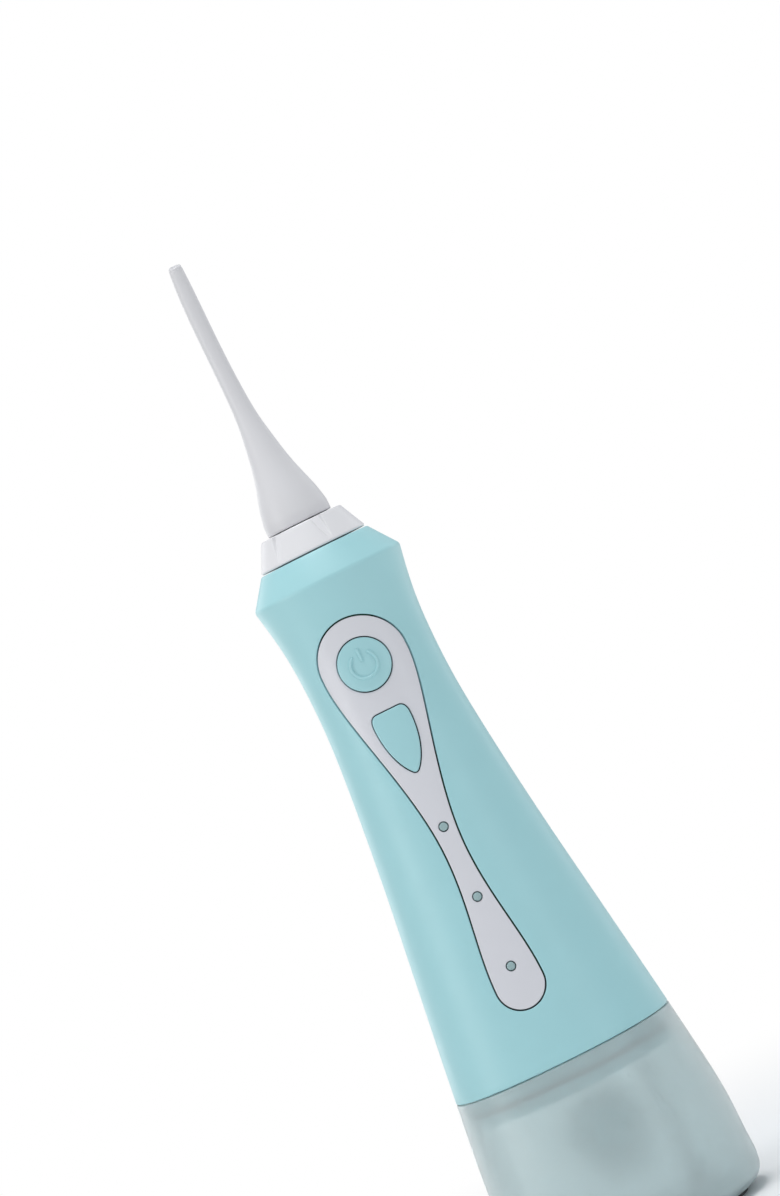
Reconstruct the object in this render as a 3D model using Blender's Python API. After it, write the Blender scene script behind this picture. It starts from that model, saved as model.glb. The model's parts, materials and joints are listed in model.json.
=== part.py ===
"""Cordless water flosser: handle with cells, motor and piston pump, reservoir below, turning nozzle on top.

Lengths are in millimetres, and each object's scale turns them into metres. The origin is the centre
of the resting face, +Z is up, and the control panel faces -Y. Each physical piece is one object, and
the pieces of one rigid body share an empty that stands on the body's joint.
"""

import math

import bmesh
import bpy
from mathutils import Vector

MM = 0.001
SEAM = 0.3

# Outline of the whole body: height and half-width, from the resting face to the shoulder.
BODY_OUTLINE = (
    (0.0, 31.8),
    (4.0, 34.3),
    (18.0, 35.3),
    (36.0, 34.1),
    (59.0, 31.2),
    (89.0, 27.1),
    (118.6, 23.1),
    (151.0, 19.6),
    (168.0, 18.85),
    (184.0, 19.55),
    (197.6, 21.75),
)
SHOULDER = 197.6
CASING_TOP = 205.6
CASING_TOP_RADIUS = 15.9
DEPTH_RATIO_FOOT = 0.87
DEPTH_RATIO_SHOULDER = 0.95
POWER_FOOT = 2.3
POWER_TOP = 2.0

# Casing
WALL = 2.0
CASING_FOOT = 55.0
CASING_RINGS = 12
CASING_SIDES = 17
NECK_RADIUS = 9.9
NECK_INSIDE = (203.4, 13.0)
SHOULDER_INSIDE = 195.5

# Charging port: a rounded pad on the rear shell, a jack behind it, a soft cover on a strap
PORT_Z = 72.0
PORT_RADIUS = 3.9
PORT_PAD = (-7.0, 7.0, 66.0, 80.4)
PORT_PAD_CORNER = 3.0
PORT_PAD_ROOT = 23.0
PORT_PAD_FACE = 27.6
JACK_SPAN = (14.5, 25.9)
JACK_RADIUS = 3.5
JACK_SOCKET_RADIUS = 2.4
JACK_SOCKET_FOOT = 17.0
JACK_PIN_RADIUS = 0.8
COVER = (-6.4, 6.4, 66.6, 78.4)
COVER_CORNER = 2.6
COVER_SPAN = (27.9, 29.4)
COVER_HINGE_Y = 28.65
COVER_HINGE_Z = 79.6
COVER_STRAP_HALF_WIDTH = 3.0
COVER_KNUCKLE_RADIUS = 0.74
COVER_PLUG_RADIUS = 3.3
COVER_PLUG_END = 26.3

# Control panel: round head, narrow neck, long lower lobe
PANEL_THICKNESS = 2.2
PANEL_HEAD_Z = 173.4
PANEL_HEAD_RADIUS = 12.5
PANEL_NECK = (3.08, 117.0)
PANEL_LOBE = (6.9, 78.4)
PANEL_FOOT = 71.5
PANEL_STOCK = (66.0, 190.0)
PANEL_BEZIER_DROPS = (1.4, 12.5, 20.0, 14.6, 11.8)

# Buttons and indicator lights
POWER_Z = 172.5
POWER_HOLE_RADIUS = 7.6
MODE_Z = 150.0
MODE_TOP = 159.1
MODE_CORNER = (5.6, 155.6)
MODE_TIP = (0.8, 140.7)
MODE_FOOT = 140.4
BUTTON_PROUD = 0.35
BUTTON_DEPTH = 1.6
BUTTON_STOCK_REACH = 11.0
STEM_RADIUS = 1.5
STEM_END = -14.9
LIGHTS = {"upper": 124.5, "middle": 104.0, "lower": 83.7}
LIGHT_RADIUS = 1.15
LIGHT_HOLE_RADIUS = 1.4
LIGHT_FLANGE_RADIUS = 1.7
LIGHT_INNER_END = -13.0

# Electronics behind the panel
BOARD_FRONT = -11.8
BOARD_BACK = -10.6
BOARD_HALF_WIDTH = 7.5
BOARD_SPAN = (76.0, 188.0)
SWITCH_HALF_WIDTH = 3.0
SWITCH_FRONT = -12.4
LAMP_HALF_WIDTH = 0.8
LAMP_FRONT = -12.6
MEMBRANE_FRONT = -13.4
MEMBRANE_BACK = -12.7
MEMBRANE_HALF_WIDTH = 7.4
MEMBRANE_SPAN = (139.0, 183.0)
DOME_FRONT = -13.9
DOME_RADII = (2.2, 3.0)
BOARD_SCREWS_Z = (94.0, 134.0)
BOARD_SCREW_FRONT = -13.3
SCREW_HEAD_RADIUS = 1.9
SCREW_SHANK_RADIUS = 0.9
SCREW_SOCKET_RADIUS = 0.7

# Inner frame
SPINE_FRONT = -8.6
SPINE_BACK = -7.0
SPINE_HALF_WIDTH = 10.0
SPINE_SPAN = (61.0, 189.5)
SCREW_HOLE_RADIUS = 1.2
BOARD_BOSS_RADIUS = 2.4
BOARD_BOSS_FRONT = -10.3
CRADLE_SPAN = (120.0, 130.0)
CRADLE_HALF_WIDTH = 11.7
CRADLE_BACK = 6.3
MOTOR_SHELF_SPAN = (109.7, 110.7)
MOTOR_SHELF_HALF_WIDTH = 9.0
MOTOR_SHELF_BACK = 13.0
TOP_SHELF_SPAN = (188.1, 190.8)
TOP_SHELF_HALF_WIDTH = 9.5
TOP_SHELF_BACK = 8.0
AXLE_BOSS_RADIUS = 2.8
AXLE_BOSS_BACK = -4.2
AXLE_HOLE_RADIUS = 1.55

# Cells: two, side by side in the lower handle
CELL_RADIUS = 7.1
CELL_X = 7.6
CELL_Y = 4.0
CELL_SPAN = (60.3, 108.2)
CELL_CAP_RADIUS = 2.6
CELL_CAP_TOP = 109.2

# Motor and gears: the motor stands along Z, the crank gear turns about Y
MOTOR_Y = 7.0
MOTOR_RADIUS = 10.2
MOTOR_FLAT = 7.7
MOTOR_FOOT = 111.0
MOTOR_MOUTH = 135.0
MOTOR_FLOOR = 0.8
CAN_WALL = 0.7
END_CAP_SPAN = (135.3, 137.1)
END_CAP_BORE = 1.4
SHAFT_SPAN = (112.4, 143.4)
SHAFT_RADIUS = 1.0
ARMATURE_SPAN = (115.0, 129.0)
ARMATURE_RADIUS = 6.4
COMMUTATOR_TOP = 133.0
COMMUTATOR_RADIUS = 3.0
PINION_SPAN = (138.5, 142.5)
PINION_BORE = 1.2
CRANK_Z = 150.5
CRANK_THROW = 2.0
CRANK_BORE = 1.5
PITCH_RADIUS = 9.6
GEAR_TEETH = 32
PINION_TEETH = 8
PINION_PITCH_RADIUS = PITCH_RADIUS * PINION_TEETH / GEAR_TEETH
TOOTH_ADDENDUM = 0.5
TOOTH_DEDENDUM = 0.75
TOOTH_CREST_WIDTH = 0.42
PINION_TOOTH_WIDTH = 1.05
GEAR_TOOTH_WIDTH = 0.95
GEAR_RADIUS = 10.3
GEAR_BACK = 1.9
GEAR_FACE = 3.9
TOOTH_BAND = (0.2, 1.4, 1.6)
AXLE_SPAN = (-9.5, 5.6)
AXLE_RADIUS = 1.25
AXLE_HEAD_RADIUS = 2.2
AXLE_HEAD_BACK = -8.9
AXLE_GROOVE = (4.1, 4.9)
AXLE_GROOVE_RADIUS = 0.9
AXLE_CLIP_RADII = (1.05, 2.4)
AXLE_CLIP_SPAN = (4.25, 4.75)

# Pump: the cylinder stands along Z above the crank
ROD_LENGTH = 14.0
ECCENTRIC_RADIUS = 4.6
ECCENTRIC_SPAN = (-1.8, 2.6)
ROD_RING_RADII = (4.85, 6.6)
ROD_HALF_THICKNESS = 1.5
ROD_BAR_HALF_WIDTH = 1.2
ROD_BAR_START = 5.6
ROD_EYE_RADIUS = 1.8
ROD_EYE_HALF_THICKNESS = 1.3
ROD_EYE_BORE = 1.0
WRIST_PIN_RADIUS = 0.75
WRIST_PIN_HALF_LENGTH = 1.35
ECCENTRIC_Z = CRANK_Z + CRANK_THROW
WRIST_Z = ECCENTRIC_Z + ROD_LENGTH
CYLINDER_BORE = 4.3
CYLINDER_RADIUS = 6.3
CYLINDER_SPAN = (167.8, 182.0)
CHAMBER_TOP = 181.0
INLET_Z = 179.6
PUMP_SCREW_X = 7.6
PUMP_SCREW_Z = 175.0
PUMP_SCREW_FRONT = -10.1
PUMP_EAR_X = (3.4, 9.4)
PUMP_EAR_Y = (-6.7, -4.5)
PUMP_EAR_Z = (172.0, 178.0)
CYLINDER_OUTLET_RADIUS = 1.0
INLET_BOSS_RADIUS = 2.3
INLET_BOSS_SPAN = (5.2, 10.9)
INLET_BORE_RADIUS = 1.2
PISTON_SPAN = (172.4, 177.6)
PISTON_RADIUS = 3.9
PISTON_GROOVE = (174.3, 175.9)
PISTON_GROOVE_RADIUS = 2.8
PISTON_SEAL_RADII = (3.5, 0.42)
FORK_FOOT = 165.2
FORK_HALF_WIDTH = 2.0
FORK_CHEEK_Y = (1.6, 2.7)
FORK_HOLE_RADIUS = 0.8
VALVE_SPAN = (182.3, 192.8)
VALVE_BORE = 1.95
VALVE_SEAT_TOP = 184.5
BALL_Z = 186.0
BALL_RADIUS = 1.5
SPRING_SPAN = (187.95, 192.5)
SPRING_TURNS = 4
SPRING_RADIUS = 1.35
SPRING_WIRE_RADIUS = 0.2

# Nozzle and its turning collar
COLLAR_FOOT = 205.95
COLLAR_TOP = 213.9
COLLAR_RADII = (15.4, 12.1)
COLLAR_EDGE = 0.3
COLLAR_BORE_RADIUS = 4.2
COLLAR_FLOOR = 209.2
COLLAR_NOTCHES = 6
NOTCH_TURN = -63.5
NOTCH_TOP = (10.8, 14.0, 1.6)
NOTCH_FOOT = (15.0, 18.0, 0.5)
SLEEVE_FOOT = 199.0
SLEEVE_RADII = (6.4, 9.3)
CLIP_GROOVE = (201.1, 202.7)
CLIP_GROOVE_RADIUS = 8.5
CLIP_SPAN = (201.4, 202.4)
CLIP_RADII = (8.8, 11.2)
SEAT_SPAN = (193.1, 208.0)
SEAT_RADIUS = 6.0
SEAT_SOCKET_RADIUS = 3.75
SEAT_FLOOR = 195.4
SEAT_BORE = 1.2
NOZZLE_FOOT = 214.2
NOZZLE_TIP = 291.2
SHANK_FOOT = 195.9
SHANK_RADIUS = 3.2
O_RING_Z = 199.0
O_RING_RADII = (3.0, 0.5)
O_RING_GROOVE = 1.0
O_RING_GROOVE_RADIUS = 2.3
NOZZLE_BEND_START = 222.0
NOZZLE_OFFSET = 19.06
NOZZLE_HOOK = 0.92
NOZZLE_LEAN = (-0.25, 0.97)
NOZZLE_OUTLINE = (
    (9.3, 214.2),
    (9.35, 217.0),
    (8.5, 221.2),
    (6.9, 226.6),
    (5.45, 232.0),
    (4.3, 238.0),
    (3.15, 245.5),
    (2.62, 254.0),
    (2.4, 270.0),
    (2.1, 287.0),
    (1.9, 290.3),
    (1.3, 291.2),
)
NOZZLE_BORE = (
    (0.45, 291.2),
    (0.6, 270.0),
    (0.9, 245.0),
    (1.1, 230.0),
    (1.1, 222.0),
    (1.1, 195.9),
)

# Plate that closes the handle, its skirt and its seal
BASE_PLATE_SPAN = (55.2, 57.5)
BASE_PLATE_INSET = 2.9
SKIRT_SPAN = (46.0, 56.0)
SKIRT_INSETS = (3.7, 5.5)
TUBE_HOLE_RADIUS = 2.4
SEAL_Z = 50.0
SEAL_INSET = 2.85
SEAL_RADIUS = 0.6

# Suction tube and filter
TUBE_RADII = (1.2, 1.9)
TUBE_FOOT = 9.0
TUBE_PATH = (
    (18.0, 6.0, 58.0),
    (18.0, 6.0, 104.0),
    (17.3, 5.8, 111.0),
    (15.1, 5.0, 118.0),
    (14.4, 4.5, 124.0),
    (14.0, 2.5, 148.0),
    (13.6, 0.6, 166.0),
    (13.6, 0.0, 172.0),
)
TUBE_ELBOW = 2.4
FILTER_SPAN = (5.5, 11.0)
FILTER_RADIUS = 3.5
FILTER_SOCKET = (2.25, 8.0)

# Reservoir
TANK_FOOT = 1.1
TANK_TOP = 54.7
TANK_WALL = 1.8
TANK_SIDES = 28
FILLER_Z = 28.0
FILLER_RADIUS = 8.6
FILLER_FACE = 31.4
FILLER_ROOT = 27.0
CAP_RADIUS = 11.5
CAP_SPAN = (32.4, 34.2)
CAP_EDGE = 0.6
CAP_RIM_RADIUS = 10.6
CAP_PLUG_RADIUS = 7.8
CAP_PLUG_END = 29.4
CAP_HINGE_Y = 33.6
CAP_HINGE_Z = 14.9
CAP_ARM_HALF_WIDTH = 4.3
CAP_ARM_TOP = 20.0
CAP_KNUCKLE_RADIUS = 1.7
GASKET_RADII = (8.9, 10.8)
GASKET_SPAN = (31.65, 32.15)
EAR_X = (4.8, 6.8)
EAR_RADIUS = 2.0
EAR_ROOT = 29.6
HINGE_HOLE_RADIUS = 1.1
HINGE_PIN_RADIUS = 0.8
HINGE_PIN_HALF_LENGTH = 6.7
PAD_THICKNESS = 0.8
PAD_INSETS = (3.6, 3.2)

ALL_ROUND = 2 * math.pi


# ---------------------------------------------------------------- shape tools


def clear_scene():
    for obj in list(bpy.data.objects):
        bpy.data.objects.remove(obj, do_unlink=True)


def material(name, colour, roughness, metallic=0.0):
    """A Principled material, made once for each name."""
    found = bpy.data.materials.get(name)
    if found:
        return found
    made = bpy.data.materials.new(name)
    made.use_nodes = True
    shader = made.node_tree.nodes["Principled BSDF"]
    shader.inputs["Base Color"].default_value = (*colour, 1.0)
    shader.inputs["Roughness"].default_value = roughness
    shader.inputs["Metallic"].default_value = metallic
    made.diffuse_color = (*colour, 1.0)
    return made


def body(name, pivot=(0.0, 0.0, 0.0)):
    """An empty that stands on a rigid body's joint."""
    empty = bpy.data.objects.new(name + "_body", None)
    empty.location = Vector(pivot) * MM
    bpy.context.scene.collection.objects.link(empty)
    return empty


def mesh_object(name, points, faces, parent=None, look=None):
    """A closed mesh from points in millimetres, with its origin on its body's empty."""
    origin = parent.location / MM if parent else Vector()
    bm = bmesh.new()
    verts = [bm.verts.new(Vector(point) - origin) for point in points]
    for corners in faces:
        bm.faces.new([verts[i] for i in corners])
    bmesh.ops.recalc_face_normals(bm, faces=bm.faces)
    mesh = bpy.data.meshes.new(name)
    bm.to_mesh(mesh)
    bm.free()
    mesh.shade_smooth()
    mesh.set_sharp_from_angle(angle=math.radians(35))
    if look:
        mesh.materials.append(look)
    made = bpy.data.objects.new(name, mesh)
    made.parent = parent
    made.scale = (MM, MM, MM)
    bpy.context.scene.collection.objects.link(made)
    return made


def combine(target, tools, operation):
    """A live Boolean of target with helpers that aren't rendered."""
    group = bpy.data.collections.new(f"{target.name}_{operation.lower()}_{len(target.modifiers)}")
    bpy.context.scene.collection.children.link(group)
    for tool in tools:
        tool.hide_render = True
        tool.display_type = "WIRE"
        bpy.context.scene.collection.objects.unlink(tool)
        group.objects.link(tool)
    modifier = target.modifiers.new(group.name, "BOOLEAN")
    modifier.operation = operation
    modifier.solver = "EXACT"
    modifier.operand_type = "COLLECTION"
    modifier.collection = group


def add(target, *tools):
    combine(target, tools, "UNION")


def cut(target, *tools):
    combine(target, tools, "DIFFERENCE")


def keep_inside(target, tool):
    combine(target, (tool,), "INTERSECT")


def loft(rings, closed=False):
    """Points and faces of a skin from ring to ring. A ring of one point is a pole."""
    points = []
    starts = []
    for ring in rings:
        starts.append(len(points))
        points += ring
    faces = []
    steps = len(rings) if closed else len(rings) - 1
    for first in range(steps):
        second = (first + 1) % len(rings)
        here = len(rings[first])
        there = len(rings[second])
        sides = max(here, there)
        for i in range(sides):
            j = i + 1
            corners = (
                starts[first] + i * here // sides % here,
                starts[first] + j * here // sides % here,
                starts[second] + j * there // sides % there,
                starts[second] + i * there // sides % there,
            )
            faces.append(list(dict.fromkeys(corners)))
    return points, faces


def open_wall(outer, inner):
    """Points and faces of a wall between two stacks of open rings, with all four edges closed."""
    rings = outer + inner[::-1]
    count = len(rings)
    sides = len(outer[0])
    points = [point for ring in rings for point in ring]
    faces = []
    for ring in range(count):
        for i in range(sides - 1):
            a = ring * sides + i
            b = (ring + 1) % count * sides + i
            faces.append((a, a + 1, b + 1, b))
    for level in range(len(outer) - 1):
        for side in (0, sides - 1):
            low = level * sides + side
            mate = (count - 1 - level) * sides + side
            faces.append((low, low + sides, mate - sides, mate))
    return points, faces


def circle(radius, height, sides, axis="Z", centre=(0.0, 0.0, 0.0), turn=0.0):
    """A ring of points about an axis, at a height along it."""
    ring = []
    for i in range(sides):
        angle = turn + ALL_ROUND * i / sides
        u = radius * math.cos(angle)
        v = radius * math.sin(angle)
        offset = {"X": (height, u, v), "Y": (u, height, v), "Z": (u, v, height)}[axis]
        ring.append(tuple(c + o for c, o in zip(centre, offset)))
    return ring


def turned(name, profile, parent=None, look=None, axis="Z", centre=(0.0, 0.0, 0.0), sides=16):
    """A turned piece from (radius, height) points. It is a ring when no point is on the axis."""
    rings = []
    for radius, height in profile:
        ring = circle(radius, height, sides, axis, centre)
        rings.append(ring if radius else ring[:1])
    on_axis = any(radius == 0 for radius, _ in profile)
    points, faces = loft(rings, closed=not on_axis)
    return mesh_object(name, points, faces, parent, look)


def rod(name, radius, low, high, parent=None, look=None, axis="Z", centre=(0.0, 0.0, 0.0), sides=16):
    profile = ((0, low), (radius, low), (radius, high), (0, high))
    return turned(name, profile, parent, look, axis, centre, sides)


def bore_along_y(name, radius, x, z, low, high=-3.0, sides=14):
    """A helper that cuts a round hole along Y."""
    return rod(name, radius, low, high, axis="Y", centre=(x, 0, z), sides=sides)


def block(name, low, high, parent=None, look=None):
    corners = [(x, y, z) for x in (low[0], high[0]) for y in (low[1], high[1]) for z in (low[2], high[2])]
    faces = ((0, 1, 3, 2), (4, 6, 7, 5), (0, 4, 5, 1), (2, 3, 7, 6), (0, 2, 6, 4), (1, 5, 7, 3))
    return mesh_object(name, corners, faces, parent, look)


def prism(name, outline, low=-40.0, high=-5.0, parent=None, look=None):
    """A shape that runs along Y, with an outline of (x, z) points."""
    count = len(outline)
    points = [(x, low, z) for x, z in outline] + [(x, high, z) for x, z in outline]
    faces = [tuple(range(count)), tuple(range(count, 2 * count))]
    for i in range(count):
        j = (i + 1) % count
        faces.append((i, j, count + j, count + i))
    return mesh_object(name, points, faces, parent, look)


def path_rings(path, radius, sides, side_axis):
    """Rings square to a path, turned so that one radius stays square to side_axis."""
    rings = []
    for i, point in enumerate(path):
        ahead = Vector(path[min(i + 1, len(path) - 1)])
        behind = Vector(path[max(i - 1, 0)])
        along = (ahead - behind).normalized()
        u = Vector(side_axis).cross(along).normalized()
        v = along.cross(u)
        ring = []
        for k in range(sides):
            angle = ALL_ROUND * k / sides
            offset = (u * math.cos(angle) + v * math.sin(angle)) * radius
            ring.append(tuple(Vector(point) + offset))
        rings.append(ring)
    return rings


def bezier(start, handle, other_handle, end, steps):
    """Points of a cubic curve, without its last one."""
    points = []
    for i in range(steps):
        t = i / steps
        weights = ((1 - t) ** 3, 3 * t * (1 - t) ** 2, 3 * t * t * (1 - t), t**3)
        corners = (start, handle, other_handle, end)
        points.append(tuple(sum(w * c[k] for w, c in zip(weights, corners)) for k in (0, 1)))
    return points


def arc(centre, radii, start, end, steps):
    """Points of an elliptical arc, without its last one. Angles are in degrees."""
    points = []
    for i in range(steps):
        angle = math.radians(start + (end - start) * i / steps)
        points.append((centre[0] + radii[0] * math.cos(angle), centre[1] + radii[1] * math.sin(angle)))
    return points


def mirrored(right):
    """A closed outline from its right half, which runs from the top point to the bottom point."""
    left = [(-x, z) for x, z in right[1:-1]]
    return right + left[::-1]


def rounded_rectangle(low_x, high_x, low_z, high_z, radius):
    """A clockwise outline with four round corners."""
    outline = []
    for x, z, start in (
        (low_x + radius, high_z - radius, 180),
        (high_x - radius, high_z - radius, 90),
        (high_x - radius, low_z + radius, 0),
        (low_x + radius, low_z + radius, -90),
    ):
        outline += arc((x, z), (radius, radius), start, start - 90, 5)
        outline.append(point_on_arc(x, z, radius, start - 90))
    return outline


def point_on_arc(x, z, radius, angle_deg):
    angle = math.radians(angle_deg)
    return x + radius * math.cos(angle), z + radius * math.sin(angle)


def offset(outline, distance):
    """An outline moved outwards, for one that runs clockwise."""
    moved = []
    count = len(outline)
    for i in range(count):
        before = Vector(outline[i - 1])
        after = Vector(outline[(i + 1) % count])
        along = (after - before).normalized()
        moved.append((outline[i][0] - along.y * distance, outline[i][1] + along.x * distance))
    return moved


# ---------------------------------------------------------------- the body's surface


def half_width(z):
    """Half-width at a height: a cubic Hermite curve through BODY_OUTLINE."""
    last = len(BODY_OUTLINE) - 1
    k = max(i for i in range(last) if BODY_OUTLINE[i][0] <= max(z, 0.0))

    def slope(i):
        low = BODY_OUTLINE[max(i - 1, 0)]
        high = BODY_OUTLINE[min(i + 1, last)]
        return (high[1] - low[1]) / (high[0] - low[0])

    (z0, w0), (z1, w1) = BODY_OUTLINE[k], BODY_OUTLINE[k + 1]
    span = z1 - z0
    t = (z - z0) / span
    start = (1 + 2 * t) * (1 - t) ** 2 * w0 + t * (1 - t) ** 2 * span * slope(k)
    end = t * t * (3 - 2 * t) * w1 + t * t * (t - 1) * span * slope(k + 1)
    return start + end


def section(z, inset=0.0):
    """Half-width, half-depth and superellipse power of the body at a height."""
    level = min(z / SHOULDER, 1.0)
    width = half_width(z)
    ratio = DEPTH_RATIO_FOOT + (DEPTH_RATIO_SHOULDER - DEPTH_RATIO_FOOT) * level
    power = POWER_FOOT + (POWER_TOP - POWER_FOOT) * level
    return width - inset, width * ratio - inset, power


def oval(sizes, z, sides, start=0.0, turn=ALL_ROUND, ends=0):
    """A ring of points on a superellipse. With ends, the ring is open, and both ends stand off y = 0."""
    a, b, power = sizes
    ring = []
    count = sides + (1 if ends else 0)
    for i in range(count):
        angle = start + turn * i / sides
        c = math.cos(angle)
        s = math.sin(angle)
        x = a * math.copysign(abs(c) ** (2 / power), c)
        y = b * math.copysign(abs(s) ** (2 / power), s)
        if ends and i in (0, sides):
            y = ends * SEAM / 2
        ring.append((x, y, z))
    return ring


def half_oval(z, inset, side):
    """The front (side -1) or rear (side 1) half of the body's section."""
    return oval(section(z, inset), z, CASING_SIDES, 0.0, side * math.pi, ends=side)


def half_circle(radius, z, side):
    return oval((radius, radius, 2.0), z, CASING_SIDES, 0.0, side * math.pi, ends=side)


def casing_heights():
    span = SHOULDER - CASING_FOOT
    return [CASING_FOOT + span * i / (CASING_RINGS - 1) for i in range(CASING_RINGS)]


def front_of(z):
    """How far the body's surface stands in front of its axis, on the centre line."""
    return section(z)[1]


def surface_stock(name, heights, outer_inset, inner_inset, parent, look):
    """A curved plate that follows the front of the body between two insets."""
    outer = [half_oval(z, outer_inset, -1) for z in heights]
    inner = [half_oval(z, inner_inset, -1) for z in heights]
    points, faces = open_wall(outer, inner)
    return mesh_object(name, points, faces, parent, look)


# ---------------------------------------------------------------- casing and panel


def panel_outline(grow=0.0):
    head = (0.0, PANEL_HEAD_Z)
    neck_x, neck_z = PANEL_NECK
    lobe_x, lobe_z = PANEL_LOBE
    shoulder, head_drop, neck_rise, neck_drop, lobe_rise = PANEL_BEZIER_DROPS
    head_end = (PANEL_HEAD_RADIUS, PANEL_HEAD_Z - shoulder)
    head_handle = (head_end[0], head_end[1] - head_drop)
    right = arc(head, (PANEL_HEAD_RADIUS, PANEL_HEAD_RADIUS), 90, 0, 9)
    right += bezier(head_end, head_handle, (neck_x, neck_z + neck_rise), PANEL_NECK, 12)
    right += bezier(PANEL_NECK, (neck_x, neck_z - neck_drop), (lobe_x, lobe_z + lobe_rise), PANEL_LOBE, 8)
    right += arc((0.0, lobe_z), (lobe_x, lobe_z - PANEL_FOOT), 0, -90, 6)
    return offset(mirrored(right + [(0.0, PANEL_FOOT)]), grow)


def mode_outline(grow=0.0):
    """A shield: nearly flat top, round corners, sides that curve down to a blunt tip."""
    reach, corner_z = MODE_CORNER
    tip_x, tip_z = MODE_TIP
    right = [(0.0, MODE_TOP)]
    right += bezier((3.4, MODE_TOP), (4.9, MODE_TOP - 0.1), (reach, MODE_TOP - 1.4), MODE_CORNER, 5)
    right += bezier(MODE_CORNER, (reach, corner_z - 5.1), (tip_x + 3.5, tip_z + 3.6), MODE_TIP, 9)
    return offset(mirrored(right + [MODE_TIP, (0.0, MODE_FOOT)]), grow)


def power_outline(grow=0.0):
    return arc((0.0, POWER_Z), (POWER_HOLE_RADIUS + grow, POWER_HOLE_RADIUS + grow), 90, -270, 32)


def casing_half(name, side, handle, look):
    heights = casing_heights()
    outer = [half_oval(z, 0.0, side) for z in heights]
    inner = [half_oval(z, WALL, side) for z in heights[:-1] + [SHOULDER_INSIDE]]
    inside_z, inside_radius = NECK_INSIDE
    outer += [half_circle(CASING_TOP_RADIUS, CASING_TOP, side), half_circle(NECK_RADIUS, CASING_TOP, side)]
    inner += [half_circle(inside_radius, inside_z, side), half_circle(NECK_RADIUS, inside_z, side)]
    points, faces = open_wall(outer, inner)
    return mesh_object(name, points, faces, handle, look)


def make_front_shell(handle, mint):
    shell = casing_half("front_shell", -1, handle, mint)
    cut(shell, prism("panel_opening", panel_outline(SEAM / 2)))


def make_rear_shell(handle, mint):
    shell = casing_half("rear_shell", 1, handle, mint)
    add(shell, prism("port_pad", rounded_rectangle(*PORT_PAD, PORT_PAD_CORNER), PORT_PAD_ROOT, PORT_PAD_FACE))
    cut(shell, rod("port_hole", PORT_RADIUS, 15.0, 35.0, axis="Y", centre=(0.0, 0.0, PORT_Z)))


def make_control_panel(handle, pale):
    low, high = PANEL_STOCK
    heights = [low] + [z for z in casing_heights() if low < z < high] + [high]
    panel = surface_stock("control_panel", heights, 0.0, PANEL_THICKNESS, handle, pale)
    keep_inside(panel, prism("panel_edge", panel_outline(-SEAM / 2)))
    holes = [prism("power_hole", power_outline()), prism("mode_hole", mode_outline())]
    for name, z in LIGHTS.items():
        holes.append(bore_along_y("light_hole_" + name, LIGHT_HOLE_RADIUS, 0.0, z, -40.0))
    cut(panel, *holes)


def make_button(name, outline, z, parent, look):
    """A key that stands a little proud of the panel, with a stem that presses the membrane."""
    heights = [z + BUTTON_STOCK_REACH * i / 2 for i in range(-2, 3)]
    key = surface_stock(name, heights, -BUTTON_PROUD, BUTTON_DEPTH, parent, look)
    keep_inside(key, prism(name + "_edge", outline))
    top = -front_of(z) + 0.6
    add(key, rod(name + "_stem", STEM_RADIUS, top, STEM_END, axis="Y", centre=(0, 0, z), sides=16))


def make_light_pipe(name, z, handle, clear):
    surface = -front_of(z)
    flange = surface + PANEL_THICKNESS + 0.4
    profile = (
        (0, surface - 0.1),
        (LIGHT_RADIUS, surface - 0.1),
        (LIGHT_RADIUS, flange),
        (LIGHT_FLANGE_RADIUS, flange),
        (LIGHT_FLANGE_RADIUS, LIGHT_INNER_END),
        (0, LIGHT_INNER_END),
    )
    turned("light_pipe_" + name, profile, handle, clear, axis="Y", centre=(0, 0, z), sides=12)


def make_membrane(handle, rubber):
    low = (-MEMBRANE_HALF_WIDTH, MEMBRANE_FRONT, MEMBRANE_SPAN[0])
    high = (MEMBRANE_HALF_WIDTH, MEMBRANE_BACK, MEMBRANE_SPAN[1])
    sheet = block("button_membrane", low, high, handle, rubber)
    root = (MEMBRANE_FRONT + MEMBRANE_BACK) / 2
    domes = []
    for name, z in (("power", POWER_Z), ("mode", MODE_Z)):
        profile = ((0, DOME_FRONT), (DOME_RADII[0], DOME_FRONT), (DOME_RADII[1], root), (0, root))
        domes.append(turned(name + "_dome", profile, axis="Y", centre=(0, 0, z), sides=14))
    add(sheet, *domes)


def make_circuit_board(handle, green):
    low = (-BOARD_HALF_WIDTH, BOARD_FRONT, BOARD_SPAN[0])
    board = block("circuit_board", low, (BOARD_HALF_WIDTH, BOARD_BACK, BOARD_SPAN[1]), handle, green)
    root = BOARD_FRONT + 0.4
    parts = []
    for name, z in (("power", POWER_Z), ("mode", MODE_Z)):
        parts.append(chip(name + "_switch", z, SWITCH_HALF_WIDTH, SWITCH_FRONT, root))
    for name, z in LIGHTS.items():
        parts.append(chip(name + "_lamp", z, LAMP_HALF_WIDTH, LAMP_FRONT, root))
    add(board, *parts)
    holes = []
    for z in BOARD_SCREWS_Z:
        holes.append(bore_along_y(f"board_hole_{z:.0f}", SCREW_HOLE_RADIUS, 0.0, z, -15.0, -9.0))
    cut(board, *holes)


def chip(name, z, half, front, root):
    """A square electronic part on the board's centre line."""
    return block(name, (-half, front, z - half), (half, root, z + half))


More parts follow.
